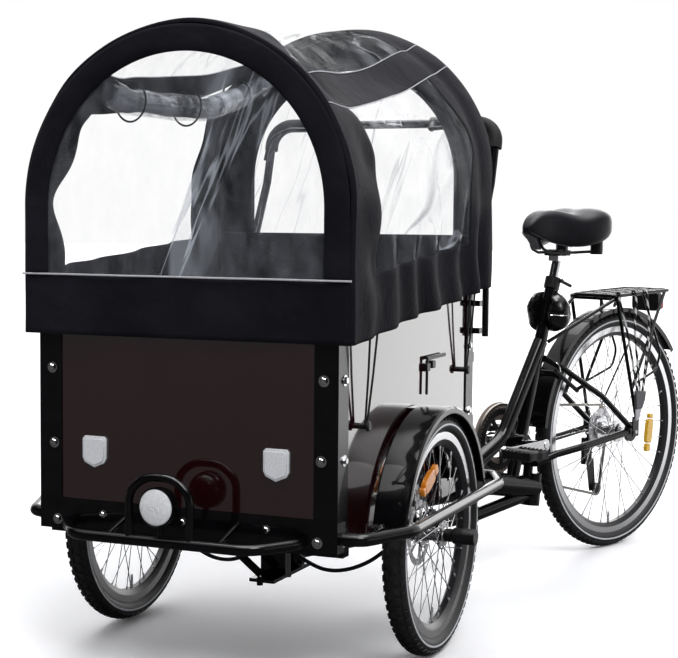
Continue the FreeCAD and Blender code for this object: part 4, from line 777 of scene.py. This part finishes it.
piping = Shape()
line = [Vector(((CANOPY_HALF - 0.003) * (1 - 2 * k / 40), CANOPY_Y0 - 0.0035 - 0.002 * math.sin(k * 0.5),
                HEM_Z + SKIRT)) for k in range(41)]
piping.tube(line, 0.0019, 8)
for side in (1, -1):
    for edge in (0, 1):
        line = []
        for k in range(50):
            v = 0.012 + 0.976 * k / 49
            u = arc_u(band_angles(v)[edge])
            _, (nx, nz) = section(u)
            p = skin(u if side > 0 else SECTION - u, CANOPY_Y0 + CANOPY_LEN * v)
            line.append(p + Vector((side * nx, 0, nz)) * 0.0015)
        piping.tube(line, 0.0012, 8)
piece("canopy_piping", piping, PIPING, "carriage", BOX)

# the rolled right window
roll = Shape()
turns = []
for k in range(60):
    t = k / 59
    y = CANOPY_Y0 + 0.065 + (CANOPY_LEN - 0.15) * t
    base = skin(arc_u(129), y)
    drop = 0.040 + 0.010 * math.sin(math.pi * t)
    centre = base + Vector((0.016, 0, -drop))
    ring = []
    for m in range(90):
        a = 2 * math.pi * 2.6 * m / 89
        r = 0.031 - 0.018 * m / 89 + 0.005 * noise.noise(Vector((m * 0.12, t * 7, 0)))
        ring.append(centre + Vector((r * math.cos(a), 0, r * math.sin(a))))
    turns.append(ring)
roll.grid(turns)
# the rolled film: heavier haze, stronger painted glare and stronger painted crease glints
piece("rolled_window_roll", roll, film("rolled_vinyl", 0.30, 0.75, 0.9, 3.0), "carriage", BOX,
      thick=0.0010, replaces=["rolled_window"])
ties = Shape()
for t in (0.10, 0.42, 0.78):
    y = CANOPY_Y0 + 0.065 + (CANOPY_LEN - 0.15) * t
    base = skin(arc_u(129), y)
    centre = base + Vector((0.016, 0, -0.040 - 0.010 * math.sin(math.pi * t)))
    ties.tube([centre + Vector((0.036 * math.cos(a), 0.002 * math.sin(2 * a), 0.041 * math.sin(a) + 0.004))
               for a in (2 * math.pi * k / 32 for k in range(32))], 0.0022, 6, closed=True, up=(0, 1, 0))
piece("roll_ties", ties, WEBBING, "carriage", BOX)


# ---------------------------------------------------------------- box details
bolts = Shape()
for x, z in ((0.2864, 0.3134), (0.2934, 0.469), (0.2978, 0.6212)):
    for s in (-1, 1):
        bolts.bolt((s * x, BOX_FRONT, z), (0, -1, 0))
        bolts.bolt((s * x, BOX_REAR, z + 0.01), (0, 1, 0))
        bolts.bolt((s * HALF_W, BOX_FRONT + 0.030, z), (s, 0, 0))
        bolts.bolt((s * HALF_W, BOX_REAR - 0.030, z + 0.01), (s, 0, 0))
for x in (-0.18, 0.0, 0.18):
    bolts.bolt((x, BOX_FRONT, BOX_BOTTOM + 0.030), (0, -1, 0), 0.006)
piece("box_bolts", bolts, CHROME, "carriage", BOX, smooth=False)

shield = []
for a, b in ((-0.027, 0.026), (-0.022, 0.0315), (0.022, 0.0315), (0.027, 0.026), (0.027, -0.012), (0.022, -0.022),
             (0.0, -0.0315), (-0.022, -0.022), (-0.027, -0.012)):
    shield.append((a, b))
plates, lenses = Shape(), Shape()
for s in (-1, 1):
    at = (s * 0.200, BOX_FRONT + 0.003, 0.4555)
    plates.prism(shield, at, (-1, 0, 0), (0, 0, 1), -0.0055)
    inner = [(a * 0.86, b * 0.86) for a, b in shield]
    lenses.prism(inner, (at[0], at[1] - 0.005, at[2]), (-1, 0, 0), (0, 0, 1), -0.0035)
piece("front_reflector_plates", plates, STRIPE, "carriage", BOX, bevel=0.0012)
piece("front_reflectors", lenses, WHITE_LENS, "carriage", BOX, bevel=0.0012)

# front fenders with a rounded crown
fender = Shape()
FENDER_INNER = FRONT_R + 0.014
FENDER_W = 0.072
fender_x = HALF_W + 0.0005 + FENDER_W / 2 + 0.003
for s in (-1, 1):
    half = FENDER_W / 2
    outer = [(-half, -0.012), (-half, -0.002), (-half + 0.004, 0.0016), (-half * 0.4, 0.0025), (half * 0.4, 0.0025),
             (half - 0.004, 0.0016), (half, -0.002), (half, -0.012)]
    inner = [(a * 0.93, b - 0.0022) for a, b in reversed(outer)]
    profile = [(a, FENDER_INNER + b) for a, b in outer + inner]
    fender.lathe(profile, (s * fender_x, 0, FRONT_R), seg=90, start=90.0 - 16.0, sweep=-150.0)
    fender.slab((min(s * PANEL_X, s * (fender_x - half + 0.003)), -0.03, FRONT_R + FENDER_INNER - 0.010),
                (max(s * PANEL_X, s * (fender_x - half + 0.003)), 0.03, FRONT_R + FENDER_INNER))
piece("front_fender_shells", fender, PAINT, "carriage", BOX, replaces=["front_fenders"])

# headlight
lamp_y, lamp_z = -0.530, 0.377
bowl = Shape()
bowl_rows = []


def turned_y(shape, profile, centre, seg=48):
    """Turn (forward, radius) points about a Y axis through centre."""
    c = Vector(centre)
    ring_rows = []
    for i in range(seg):
        a = 2 * math.pi * i / seg
        ring_rows.append([c + Vector((r * math.cos(a), -f, r * math.sin(a))) for f, r in profile])
    return shape.grid(ring_rows, close_rows=True)


turned_y(bowl, [(0.014, 0.0335), (0.016, 0.036), (0.012, 0.038), (-0.002, 0.0375), (-0.018, 0.033), (-0.030, 0.022),
                (-0.034, 0.0005)], (0, lamp_y, lamp_z))
bowl.rod((0, lamp_y + 0.004, lamp_z - 0.034), (0, lamp_y + 0.004, 0.320), 0.006)
piece("lamp_bowl", bowl, PAINT, "carriage", BOX, replaces=["headlight"])
mirror = turned_y(Shape(), [(0.012, 0.0335), (0.0, 0.028), (-0.010, 0.018), (-0.014, 0.006), (-0.014, 0.0005)],
                  (0, lamp_y, lamp_z))
piece("lamp_mirror", mirror, CHROME, "carriage", BOX)
lens_rows = []
for i in range(72):
    a = 2 * math.pi * i / 72
    ring = []
    for k in range(13):
        r = 0.0345 * k / 12 + 0.0002
        x, z = r * math.cos(a), r * math.sin(a)
        rib = 0.0006 * math.sin(x * 1700.0) * (1 - (r / 0.035) ** 6)
        ring.append(Vector((x, lamp_y - 0.0145 - 0.0075 * (1 - (r / 0.0345) ** 2) + rib, lamp_z + z)))
    lens_rows.append(ring)
piece("lamp_lens", Shape().grid(lens_rows, close_rows=True), LENS, "carriage", BOX, thick=0.001)

# ---------------------------------------------------------------- straps
straps, knobs = Shape(), Shape()
for s in (-1, 1):
    for y in (-0.322, 0.301):
        hem = HEM_Z + CANOPY_RISE * (y - CANOPY_Y0) / CANOPY_LEN
        knob_z = hem - 0.176
        x = HALF_W + 0.011
        for dy in (-0.020, 0.020):
            top = Vector((s * (CANOPY_HALF - 0.0065), y + dy, hem + 0.014))
            bottom = Vector((s * x, y + dy * 0.25, knob_z + 0.004))
            straps.tube([top, top.lerp(bottom, 0.5) + Vector((s * 0.001, 0, 0)), bottom], 0.0045, 8, flat=0.35,
                        up=(1, 0, 0))
        knobs.tube([(s * PANEL_X, y, knob_z), (s * (x + 0.004), y, knob_z)], 0.006, 14, up=(0, 0, 1))
        knobs.tube([(s * (x + 0.003), y, knob_z), (s * (x + 0.006), y, knob_z), (s * (x + 0.009), y, knob_z)],
                   lambda t: 0.0105 if t < 0.7 else 0.008, 16, up=(0, 0, 1))
piece("canopy_elastics", straps, WEBBING, "carriage", BOX, replaces=["canopy_straps"])
piece("canopy_knobs", knobs, PLASTIC, "carriage", BOX)

rack_strap = Shape()
x0, hook_x = 0.075 + 0.009, 0.083 + 0.010
for y, top_z, dy, bow in ((1.157, 0.722, -0.006, 0.004), (1.231, 0.725, 0.006, -0.012), (1.287, 0.727, 0.018, 0.016)):
    foot_y = REAR_AXLE_Y + dy
    route = [(x0 - 0.012, y, top_z + 0.004), (x0 - 0.002, y, top_z + 0.001), (x0 + 0.003, y, top_z - 0.028),
             (x0 + 0.005, y + (foot_y - y) * 0.35 + bow, top_z - 0.11), (hook_x, foot_y, 0.447)]
    rack_strap.tube(smooth_line(route), 0.0032, 8, up=(1, 0, 0))
piece("rack_elastics", rack_strap, BRAID, "frame", REAR, replaces=["rack_straps"])
hook = Shape().prism([(-0.018, 0.451), (0.032, 0.447), (0.028, 0.424), (0.014, 0.399), (-0.014, 0.399)],
                     (hook_x - 0.004, REAR_AXLE_Y, 0), (0, 1, 0), (0, 0, 1), 0.008)
piece("strap_hook", hook, GREY, "frame", REAR, bevel=0.0015)
eye_shape = Shape().prism([(-0.013, 0.400), (0.012, 0.400), (0.004, 0.372), (-0.012, 0.366)],
                          (hook_x - 0.0025, REAR_AXLE_Y, 0), (0, 1, 0), (0, 0, 1), 0.005)
piece("strap_hook_end", eye_shape, PIPING, "frame", REAR, bevel=0.001)

lamp_box, lamp_red = Shape(), Shape()
rounded = [(0.045 * math.copysign(abs(math.cos(a)) ** 0.3, math.cos(a)),
            0.0275 * math.copysign(abs(math.sin(a)) ** 0.35, math.sin(a)))
           for a in (2 * math.pi * k / 40 for k in range(40))]
lamp_box.prism(rounded, (0, 1.4065, 0.6925), (1, 0, 0), (0, 0, 1), -0.021)
lamp_red.prism([(a * 0.98, b * 0.78) for a, b in rounded], (0, 1.4275, 0.6900), (1, 0, 0), (0, 0, 1), -0.012)
piece("tail_light_box", lamp_box, PLASTIC, "frame", REAR, bevel=0.002, replaces=["tail_light"])
piece("tail_light_lens", lamp_red, RED, "frame", REAR, bevel=0.004)

noodle = Shape().tube(smooth_line([(-0.034, 0.932, 0.534), (0.0, 0.926, 0.545), (0.030, 0.924, 0.548), (0.048, 0.928, 0.538),
                                   (0.050, 0.934, 0.520)]), 0.0024, 8)
piece("brake_noodle", noodle, CHROME, "frame", REAR)

# ---------------------------------------------------------------- hoses
for s, word in ((1, "left"), (-1, "right")):
    arm_x = TRACK_X - 0.0315 - 0.002 - 0.016 - 0.006
    route = [(0.030, 0, 0.196), (0.085, 0, 0.160), (0.150, 0.002, 0.152), (0.220, 0.014, 0.178),
             (0.270, 0.036, 0.226), (arm_x, 0.0535, 0.259)]
    curve = bpy.data.curves.new("hose_" + word, "CURVE")
    curve.dimensions = "3D"
    curve.bevel_depth = 0.0045
    curve.bevel_resolution = 4
    spline = curve.splines.new("NURBS")
    spline.points.add(len(route) - 1)
    for point, (x, y, z) in zip(spline.points, route):
        place = BOX @ Vector((s * x, y, z))
        point.co = (*place, 1)
    spline.order_u = 3
    spline.use_endpoint_u = True
    hose = bpy.data.objects.new("brake_hose_" + word, curve)
    bpy.context.scene.collection.objects.link(hose)
    curve.materials.append(PLASTIC)
    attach(hose, "carriage")
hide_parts("brake_hoses")

# ---------------------------------------------------------------- saddle and pouch
SADDLE_TOP = 0.954
STATIONS = [(0.836, 0.008, -0.062, -0.047), (0.842, 0.016, -0.068, -0.036), (0.860, 0.024, -0.077, -0.017),
            (0.885, 0.031, -0.087, -0.006), (0.912, 0.037, -0.095, -0.001), (0.940, 0.049, -0.102, 0.001),
            (0.965, 0.063, -0.106, -0.004), (0.995, 0.081, -0.106, -0.010), (1.020, 0.093, -0.103, -0.003),
            (1.045, 0.101, -0.098, 0.005), (1.075, 0.103, -0.089, 0.007), (1.100, 0.094, -0.076, 0.001),
            (1.115, 0.079, -0.063, -0.012), (1.122, 0.050, -0.050, -0.026)]
seat = Shape()
seat_rows = []
for y, half, low, high in STATIONS:
    row = []
    mid, rise = (low + high) / 2, (high - low) / 2
    for k in range(32):
        a = 2 * math.pi * k / 32
        cx, cz = math.cos(a), math.sin(a)
        top = cz > 0
        x = half * math.copysign(abs(cx) ** (0.7 if top else 0.42), cx)
        z = mid + rise * math.copysign(abs(cz) ** (0.62 if top else 0.45), cz)
        if top:
            z -= 0.006 * math.exp(-(x / 0.016) ** 2) * (1 if y > 0.93 else 0.3)
        else:
            z += 0.6 * rise * ease((0.80 - abs(x) / half) / 0.3) * ease((y - 0.86) / 0.05)
        row.append(Vector((x, y, SADDLE_TOP + z)))
    seat_rows.append(row)
seat.grid(seat_rows, close_cols=True)
seat.faces.append(tuple(range(32)))
seat.faces.append(tuple(reversed(range(len(seat.verts) - 32, len(seat.verts)))))
saddle = piece("saddle_cover", seat, VINYL, "frame", REAR, subdivide=2, replaces=["saddle"])
trim = Shape()
for side in (-1, 1):
    trim.tube(smooth_line([(side * 0.93 * half, y, SADDLE_TOP + low + 0.006)
                           for y, half, low, high in STATIONS[1:7]]), 0.0011, 6)
trim.prism([(0.001, -0.059), (0.050, -0.108), (0.064, -0.080), (0.040, -0.074)], (-0.013, 0.838, SADDLE_TOP),
           (0, 1, 0), (0, 0, 1), 0.026)
piece("saddle_trim", trim, GREY, "frame", REAR, bevel=0.0015)

pouch = Shape()
pouch_centre = Vector((0, 0.955 - (0.745 - 0.680) * 0.3127 + 0.012, 0.680))
pouch_rows = []
for i in range(40):
    a = 2 * math.pi * i / 40
    row = []
    for k in range(25):
        b = math.pi * k / 24
        r = math.sin(b) ** 0.9 if 0 < k < 24 else 0.0
        way = Vector((r * math.cos(a), r * math.sin(a), -math.cos(b)))
        lump = 1 + 0.17 * noise.noise(way * 1.5 + Vector((4.2, 0.4, 1.1))) + 0.07 * noise.noise(way * 4.0)
        p = pouch_centre + Vector((0.064 * way.x, 0.054 * way.y, 0.055 * way.z)) * lump
        tube_y = 0.955 - (0.745 - p.z) * 0.3127
        groove = ease((0.030 - abs(p.x)) / 0.014)
        if p.y < tube_y + 0.004:
            p.y += (tube_y + 0.004 - p.y) * groove
        row.append(p)
    pouch_rows.append(row)
pouch.grid(pouch_rows, close_rows=True)
bag = piece("tube_pouch_bag", pouch, PATENT, "frame", REAR, subdivide=1, replaces=["tube_pouch"])
zip_line = Shape().tube([p + (p - pouch_centre).normalized() * 0.001 for p in
                         (pouch_rows[i][11] for i in range(34, 40))], 0.0012, 6)
piece("pouch_zip", zip_line, CHROME, "frame", REAR)

# ---------------------------------------------------------------- pedals
for word, side in (("left", 1), ("right", -1)):
    tip = BB_Y - side * CRANK_L
    cage = Shape()
    lo_x, hi_x = 0.1125, 0.2035
    for y0, y1 in ((-0.0375, -0.0285), (0.0285, 0.0375)):
        cage.slab((lo_x, tip + y0, BB_Z - 0.0105), (hi_x, tip + y1, BB_Z + 0.0105))
        for i in range(7):
            x = lo_x + 0.006 + 0.0125 * i
            cage.slab((x, tip + y0, BB_Z - 0.013), (x + 0.004, tip + y1, BB_Z + 0.013))
    for x in (lo_x, 0.140, 0.170, hi_x - 0.009):
        cage.slab((x, tip - 0.036, BB_Z - 0.0095), (x + 0.009, tip + 0.036, BB_Z + 0.0095))
    cage.tube([(lo_x, tip, BB_Z), (0.15, tip, BB_Z), (0.165, tip, BB_Z), (hi_x, tip, BB_Z)], 0.0125, 20)
    cage.verts = [Vector((side * v.x, v.y, v.z)) for v in cage.verts]
    if side < 0:
        cage.faces = [tuple(reversed(f)) for f in cage.faces]
    piece(word + "_pedal_cage", cage, PLASTIC, word + "_pedal_body", REAR, bevel=0.001,
          replaces=[word + "_pedal"])

# ---------------------------------------------------------------- cranks
ring_x = -0.052
chainring = Shape()
teeth = 42
outline_out = []
for k in range(teeth * 4):
    a = 2 * math.pi * k / (teeth * 4)
    r = 0.084 if k % 4 in (0, 1) else 0.0795
    outline_out.append((r * math.cos(a), r * math.sin(a)))
rows_ring = []
for x in (ring_x - 0.0015, ring_x + 0.0015):
    rows_ring.append([Vector((x, BB_Y + a, BB_Z + b)) for a, b in outline_out])
inner_ring = [(0.066 * math.cos(2 * math.pi * k / (teeth * 4)), 0.066 * math.sin(2 * math.pi * k / (teeth * 4)))
              for k in range(teeth * 4)]
rows_ring.append([Vector((ring_x + 0.0015, BB_Y + a, BB_Z + b)) for a, b in inner_ring])
rows_ring.append([Vector((ring_x - 0.0015, BB_Y + a, BB_Z + b)) for a, b in inner_ring])
chainring.grid(rows_ring, close_rows=True, close_cols=True)
for i in range(5):
    a = 2 * math.pi * (i + 0.5) / 5
    chainring.prism([(-0.009, 0.014), (0.009, 0.014), (0.006, 0.068), (-0.006, 0.068)], (ring_x + 0.0015, BB_Y, BB_Z),
                    (0, math.cos(a), -math.sin(a)), (0, math.sin(a), math.cos(a)), 0.003)
piece("chainring", chainring, SATIN, "cranks", REAR, smooth=False)
guard = Shape().lathe([(ring_x - 0.0125, 0.050), (ring_x - 0.0140, 0.097), (ring_x - 0.0115, 0.098),
                       (ring_x - 0.0105, 0.050)], (0, BB_Y, BB_Z), seg=72)
for i in range(5):
    a = 2 * math.pi * (i + 0.5) / 5
    guard.rod((ring_x - 0.013, BB_Y + 0.06 * math.sin(a), BB_Z + 0.06 * math.cos(a)),
              (ring_x, BB_Y + 0.06 * math.sin(a), BB_Z + 0.06 * math.cos(a)), 0.004, 10)
piece("chain_guard_disc", guard, GUARD, "cranks", REAR)
arms = Shape()
for s in (-1, 1):
    x = s * 0.094
    tip = BB_Y - s * CRANK_L
    direction = -s
    outline = [(-0.016, -0.0), (-0.012, -0.012), (0.0, -0.0165), (0.016, -0.014), (CRANK_L - 0.02, -0.0095),
               (CRANK_L, -0.013), (CRANK_L + 0.011, -0.008), (CRANK_L + 0.013, 0.0), (CRANK_L + 0.011, 0.008),
               (CRANK_L, 0.013), (CRANK_L - 0.02, 0.0095), (0.016, 0.014), (0.0, 0.0165), (-0.012, 0.012)]
    arms.prism(outline, (x - 0.006, BB_Y, BB_Z), (0, direction, 0), (0, 0, 1), 0.012 * (1 if direction > 0 else -1))
    arms.rod((s * 0.100, tip, BB_Z), (s * 0.108, tip, BB_Z), 0.008)
    arms.rod((s * 0.100, tip, BB_Z), (s * 0.200, tip, BB_Z), 0.005)
    arms.rod((s * 0.034, BB_Y, BB_Z), (s * 0.1015, BB_Y, BB_Z), 0.010)
piece("crank_arms", arms, CHROME, "cranks", REAR, bevel=0.0015, replaces=["crank_set"])

# ---------------------------------------------------------------- side latch
latch = Shape()
lx = PANEL_X
latch.slab((lx, 0.045, 0.598), (lx + 0.010, 0.066, 0.615))
latch.slab((lx, 0.084, 0.602), (lx + 0.009, 0.104, 0.618))
latch.slab((lx + 0.004, 0.050, 0.622), (lx + 0.010, 0.170, 0.630))
latch.rod((lx + 0.007, 0.052, 0.626), (lx + 0.007, 0.050, 0.548), 0.0032, 8)
piece("side_latch", latch, PLASTIC, "carriage", BOX, bevel=0.0012)

# ---------------------------------------------------------------- camera
YAW, PITCH, ROLL = math.radians(-22.4917), math.radians(4.1263), math.radians(0.4963)
look = Vector((math.sin(YAW) * math.cos(PITCH), math.cos(YAW) * math.cos(PITCH), -math.sin(PITCH)))
right = Vector((math.cos(YAW), -math.sin(YAW), 0))
up = right.cross(look)
right_r = right * math.cos(ROLL) + up * math.sin(ROLL)
up_r = up * math.cos(ROLL) - right * math.sin(ROLL)
camera_data = bpy.data.cameras.new("camera")
camera_data.sensor_width = 36.0
camera_data.lens = 82.15
camera = bpy.data.objects.new("camera", camera_data)
bpy.context.scene.collection.objects.link(camera)
eye = BOX @ Vector((1.4245, -3.0859, 0.9274))
turn = Matrix((right_r, up_r, -look)).transposed().to_4x4()
camera.matrix_world = Matrix.Translation(eye) @ turn
bpy.context.scene.camera = camera

# ---------------------------------------------------------------- floor, light and world
floor_mesh = bpy.data.meshes.new("floor")
reach = 40.0
floor_mesh.from_pydata([(-reach, -reach, 0), (reach, -reach, 0), (reach, reach, 0), (-reach, reach, 0)], [],
                       [(0, 1, 2, 3)])
floor = bpy.data.objects.new("floor", floor_mesh)
bpy.context.scene.collection.objects.link(floor)
floor_mat = bpy.data.materials.new("studio_floor")
floor_mat.use_nodes = True
tree = floor_mat.node_tree
bsdf = tree.nodes["Principled BSDF"]
bsdf.inputs["Roughness"].default_value = 0.6
paths = tree.nodes.new("ShaderNodeLightPath")
coords = tree.nodes.new("ShaderNodeTexCoord")
split = tree.nodes.new("ShaderNodeSeparateXYZ")
tree.links.new(coords.outputs["Object"], split.inputs["Vector"])
# For reflections the floor's colour is painted by distance along Y: near black below 0.3 m, a painted shade near the
# trike, rising to brighter than white (1.45) from 3 m on, painted light.
reflected_floor_shading = tree.nodes.new("ShaderNodeMapRange")
reflected_floor_shading.interpolation_type = "SMOOTHSTEP"
reflected_floor_shading.inputs["From Min"].default_value, reflected_floor_shading.inputs["From Max"].default_value = 0.3, 3.0
reflected_floor_shading.inputs["To Min"].default_value, reflected_floor_shading.inputs["To Max"].default_value = 0.004, 1.45
tree.links.new(split.outputs["Y"], reflected_floor_shading.inputs["Value"])
# glossy rays see the painted floor shading, other rays a plain grey of 0.30
shiny = tree.nodes.new("ShaderNodeMix")
shiny.data_type = "RGBA"
shiny.inputs["A"].default_value = (0.30, 0.30, 0.31, 1)
tree.links.new(reflected_floor_shading.outputs["Result"], shiny.inputs["B"])
tree.links.new(paths.outputs["Is Glossy Ray"], shiny.inputs["Factor"])
mix = tree.nodes.new("ShaderNodeMix")
mix.data_type = "RGBA"
mix.inputs["B"].default_value = (1.22, 1.22, 1.26, 1)
tree.links.new(shiny.outputs["Result"], mix.inputs["A"])
tree.links.new(paths.outputs["Is Camera Ray"], mix.inputs["Factor"])
tree.links.new(mix.outputs["Result"], bsdf.inputs["Base Color"])
floor_mesh.materials.append(floor_mat)

world = bpy.data.worlds.new("studio")
bpy.context.scene.world = world
world.use_nodes = True
tree = world.node_tree
background = tree.nodes["Background"]
coords = tree.nodes.new("ShaderNodeTexCoord")
split = tree.nodes.new("ShaderNodeSeparateXYZ")
tree.links.new(coords.outputs["Generated"], split.inputs["Vector"])


def zone(axis, low, high, dark, bright):
    """Brightness that rises from dark to bright along one axis of the view direction."""
    made = tree.nodes.new("ShaderNodeMapRange")
    made.interpolation_type = "SMOOTHSTEP"
    made.inputs["From Min"].default_value, made.inputs["From Max"].default_value = low, high
    made.inputs["To Min"].default_value, made.inputs["To Max"].default_value = dark, bright
    tree.links.new(split.outputs[axis], made.inputs["Value"])
    return made.outputs["Result"]


def blend(factor, first, second):
    made = tree.nodes.new("ShaderNodeMix")
    made.data_type = "FLOAT"
    for name, value in (("Factor", factor), ("A", first), ("B", second)):
        if isinstance(value, float):
            made.inputs[name].default_value = value
        else:
            tree.links.new(value, made.inputs[name])
    return made.outputs["Result"]


ROOM = 0.012          # what shiny surfaces see where no lamp or backdrop is
above = zone("Z", 0.55, 0.75, ROOM, 1.0)
behind = zone("Y", 0.25, 0.60, ROOM, 1.0)
beside = zone("X", 0.86, 0.97, 0.0, 0.75)
brightest = combine(tree, "MAXIMUM", combine(tree, "MAXIMUM", above, behind), beside)
brightest = combine(tree, "ADD", brightest, zone("Z", 0.84, 0.93, 0.0, 7.0), clamp=False)
brightest = combine(tree, "ADD", brightest, zone("Y", 0.84, 0.92, 0.0, 3.0), clamp=False)
paths = tree.nodes.new("ShaderNodeLightPath")
seen = combine(tree, "MAXIMUM", paths.outputs["Is Camera Ray"], paths.outputs["Is Transmission Ray"])
level = blend(seen, blend(paths.outputs["Is Glossy Ray"], 0.60, brightest), 1.0)
tree.links.new(level, background.inputs["Strength"])
background.inputs["Color"].default_value = (1, 1, 1, 1)


def sun(name, toward, strength, spread):
    data = bpy.data.lights.new(name, "SUN")
    data.energy = strength
    data.angle = math.radians(spread)
    lamp = bpy.data.objects.new(name, data)
    bpy.context.scene.collection.objects.link(lamp)
    lamp.rotation_euler = Vector(toward).to_track_quat("Z", "Y").to_euler()


sun("key", (1.6, -1.8, 3.0), 1.15, 24.0)
sun("back", (-0.9, 2.2, 2.4), 0.60, 40.0)

bpy.context.scene.view_settings.view_transform = "Standard"
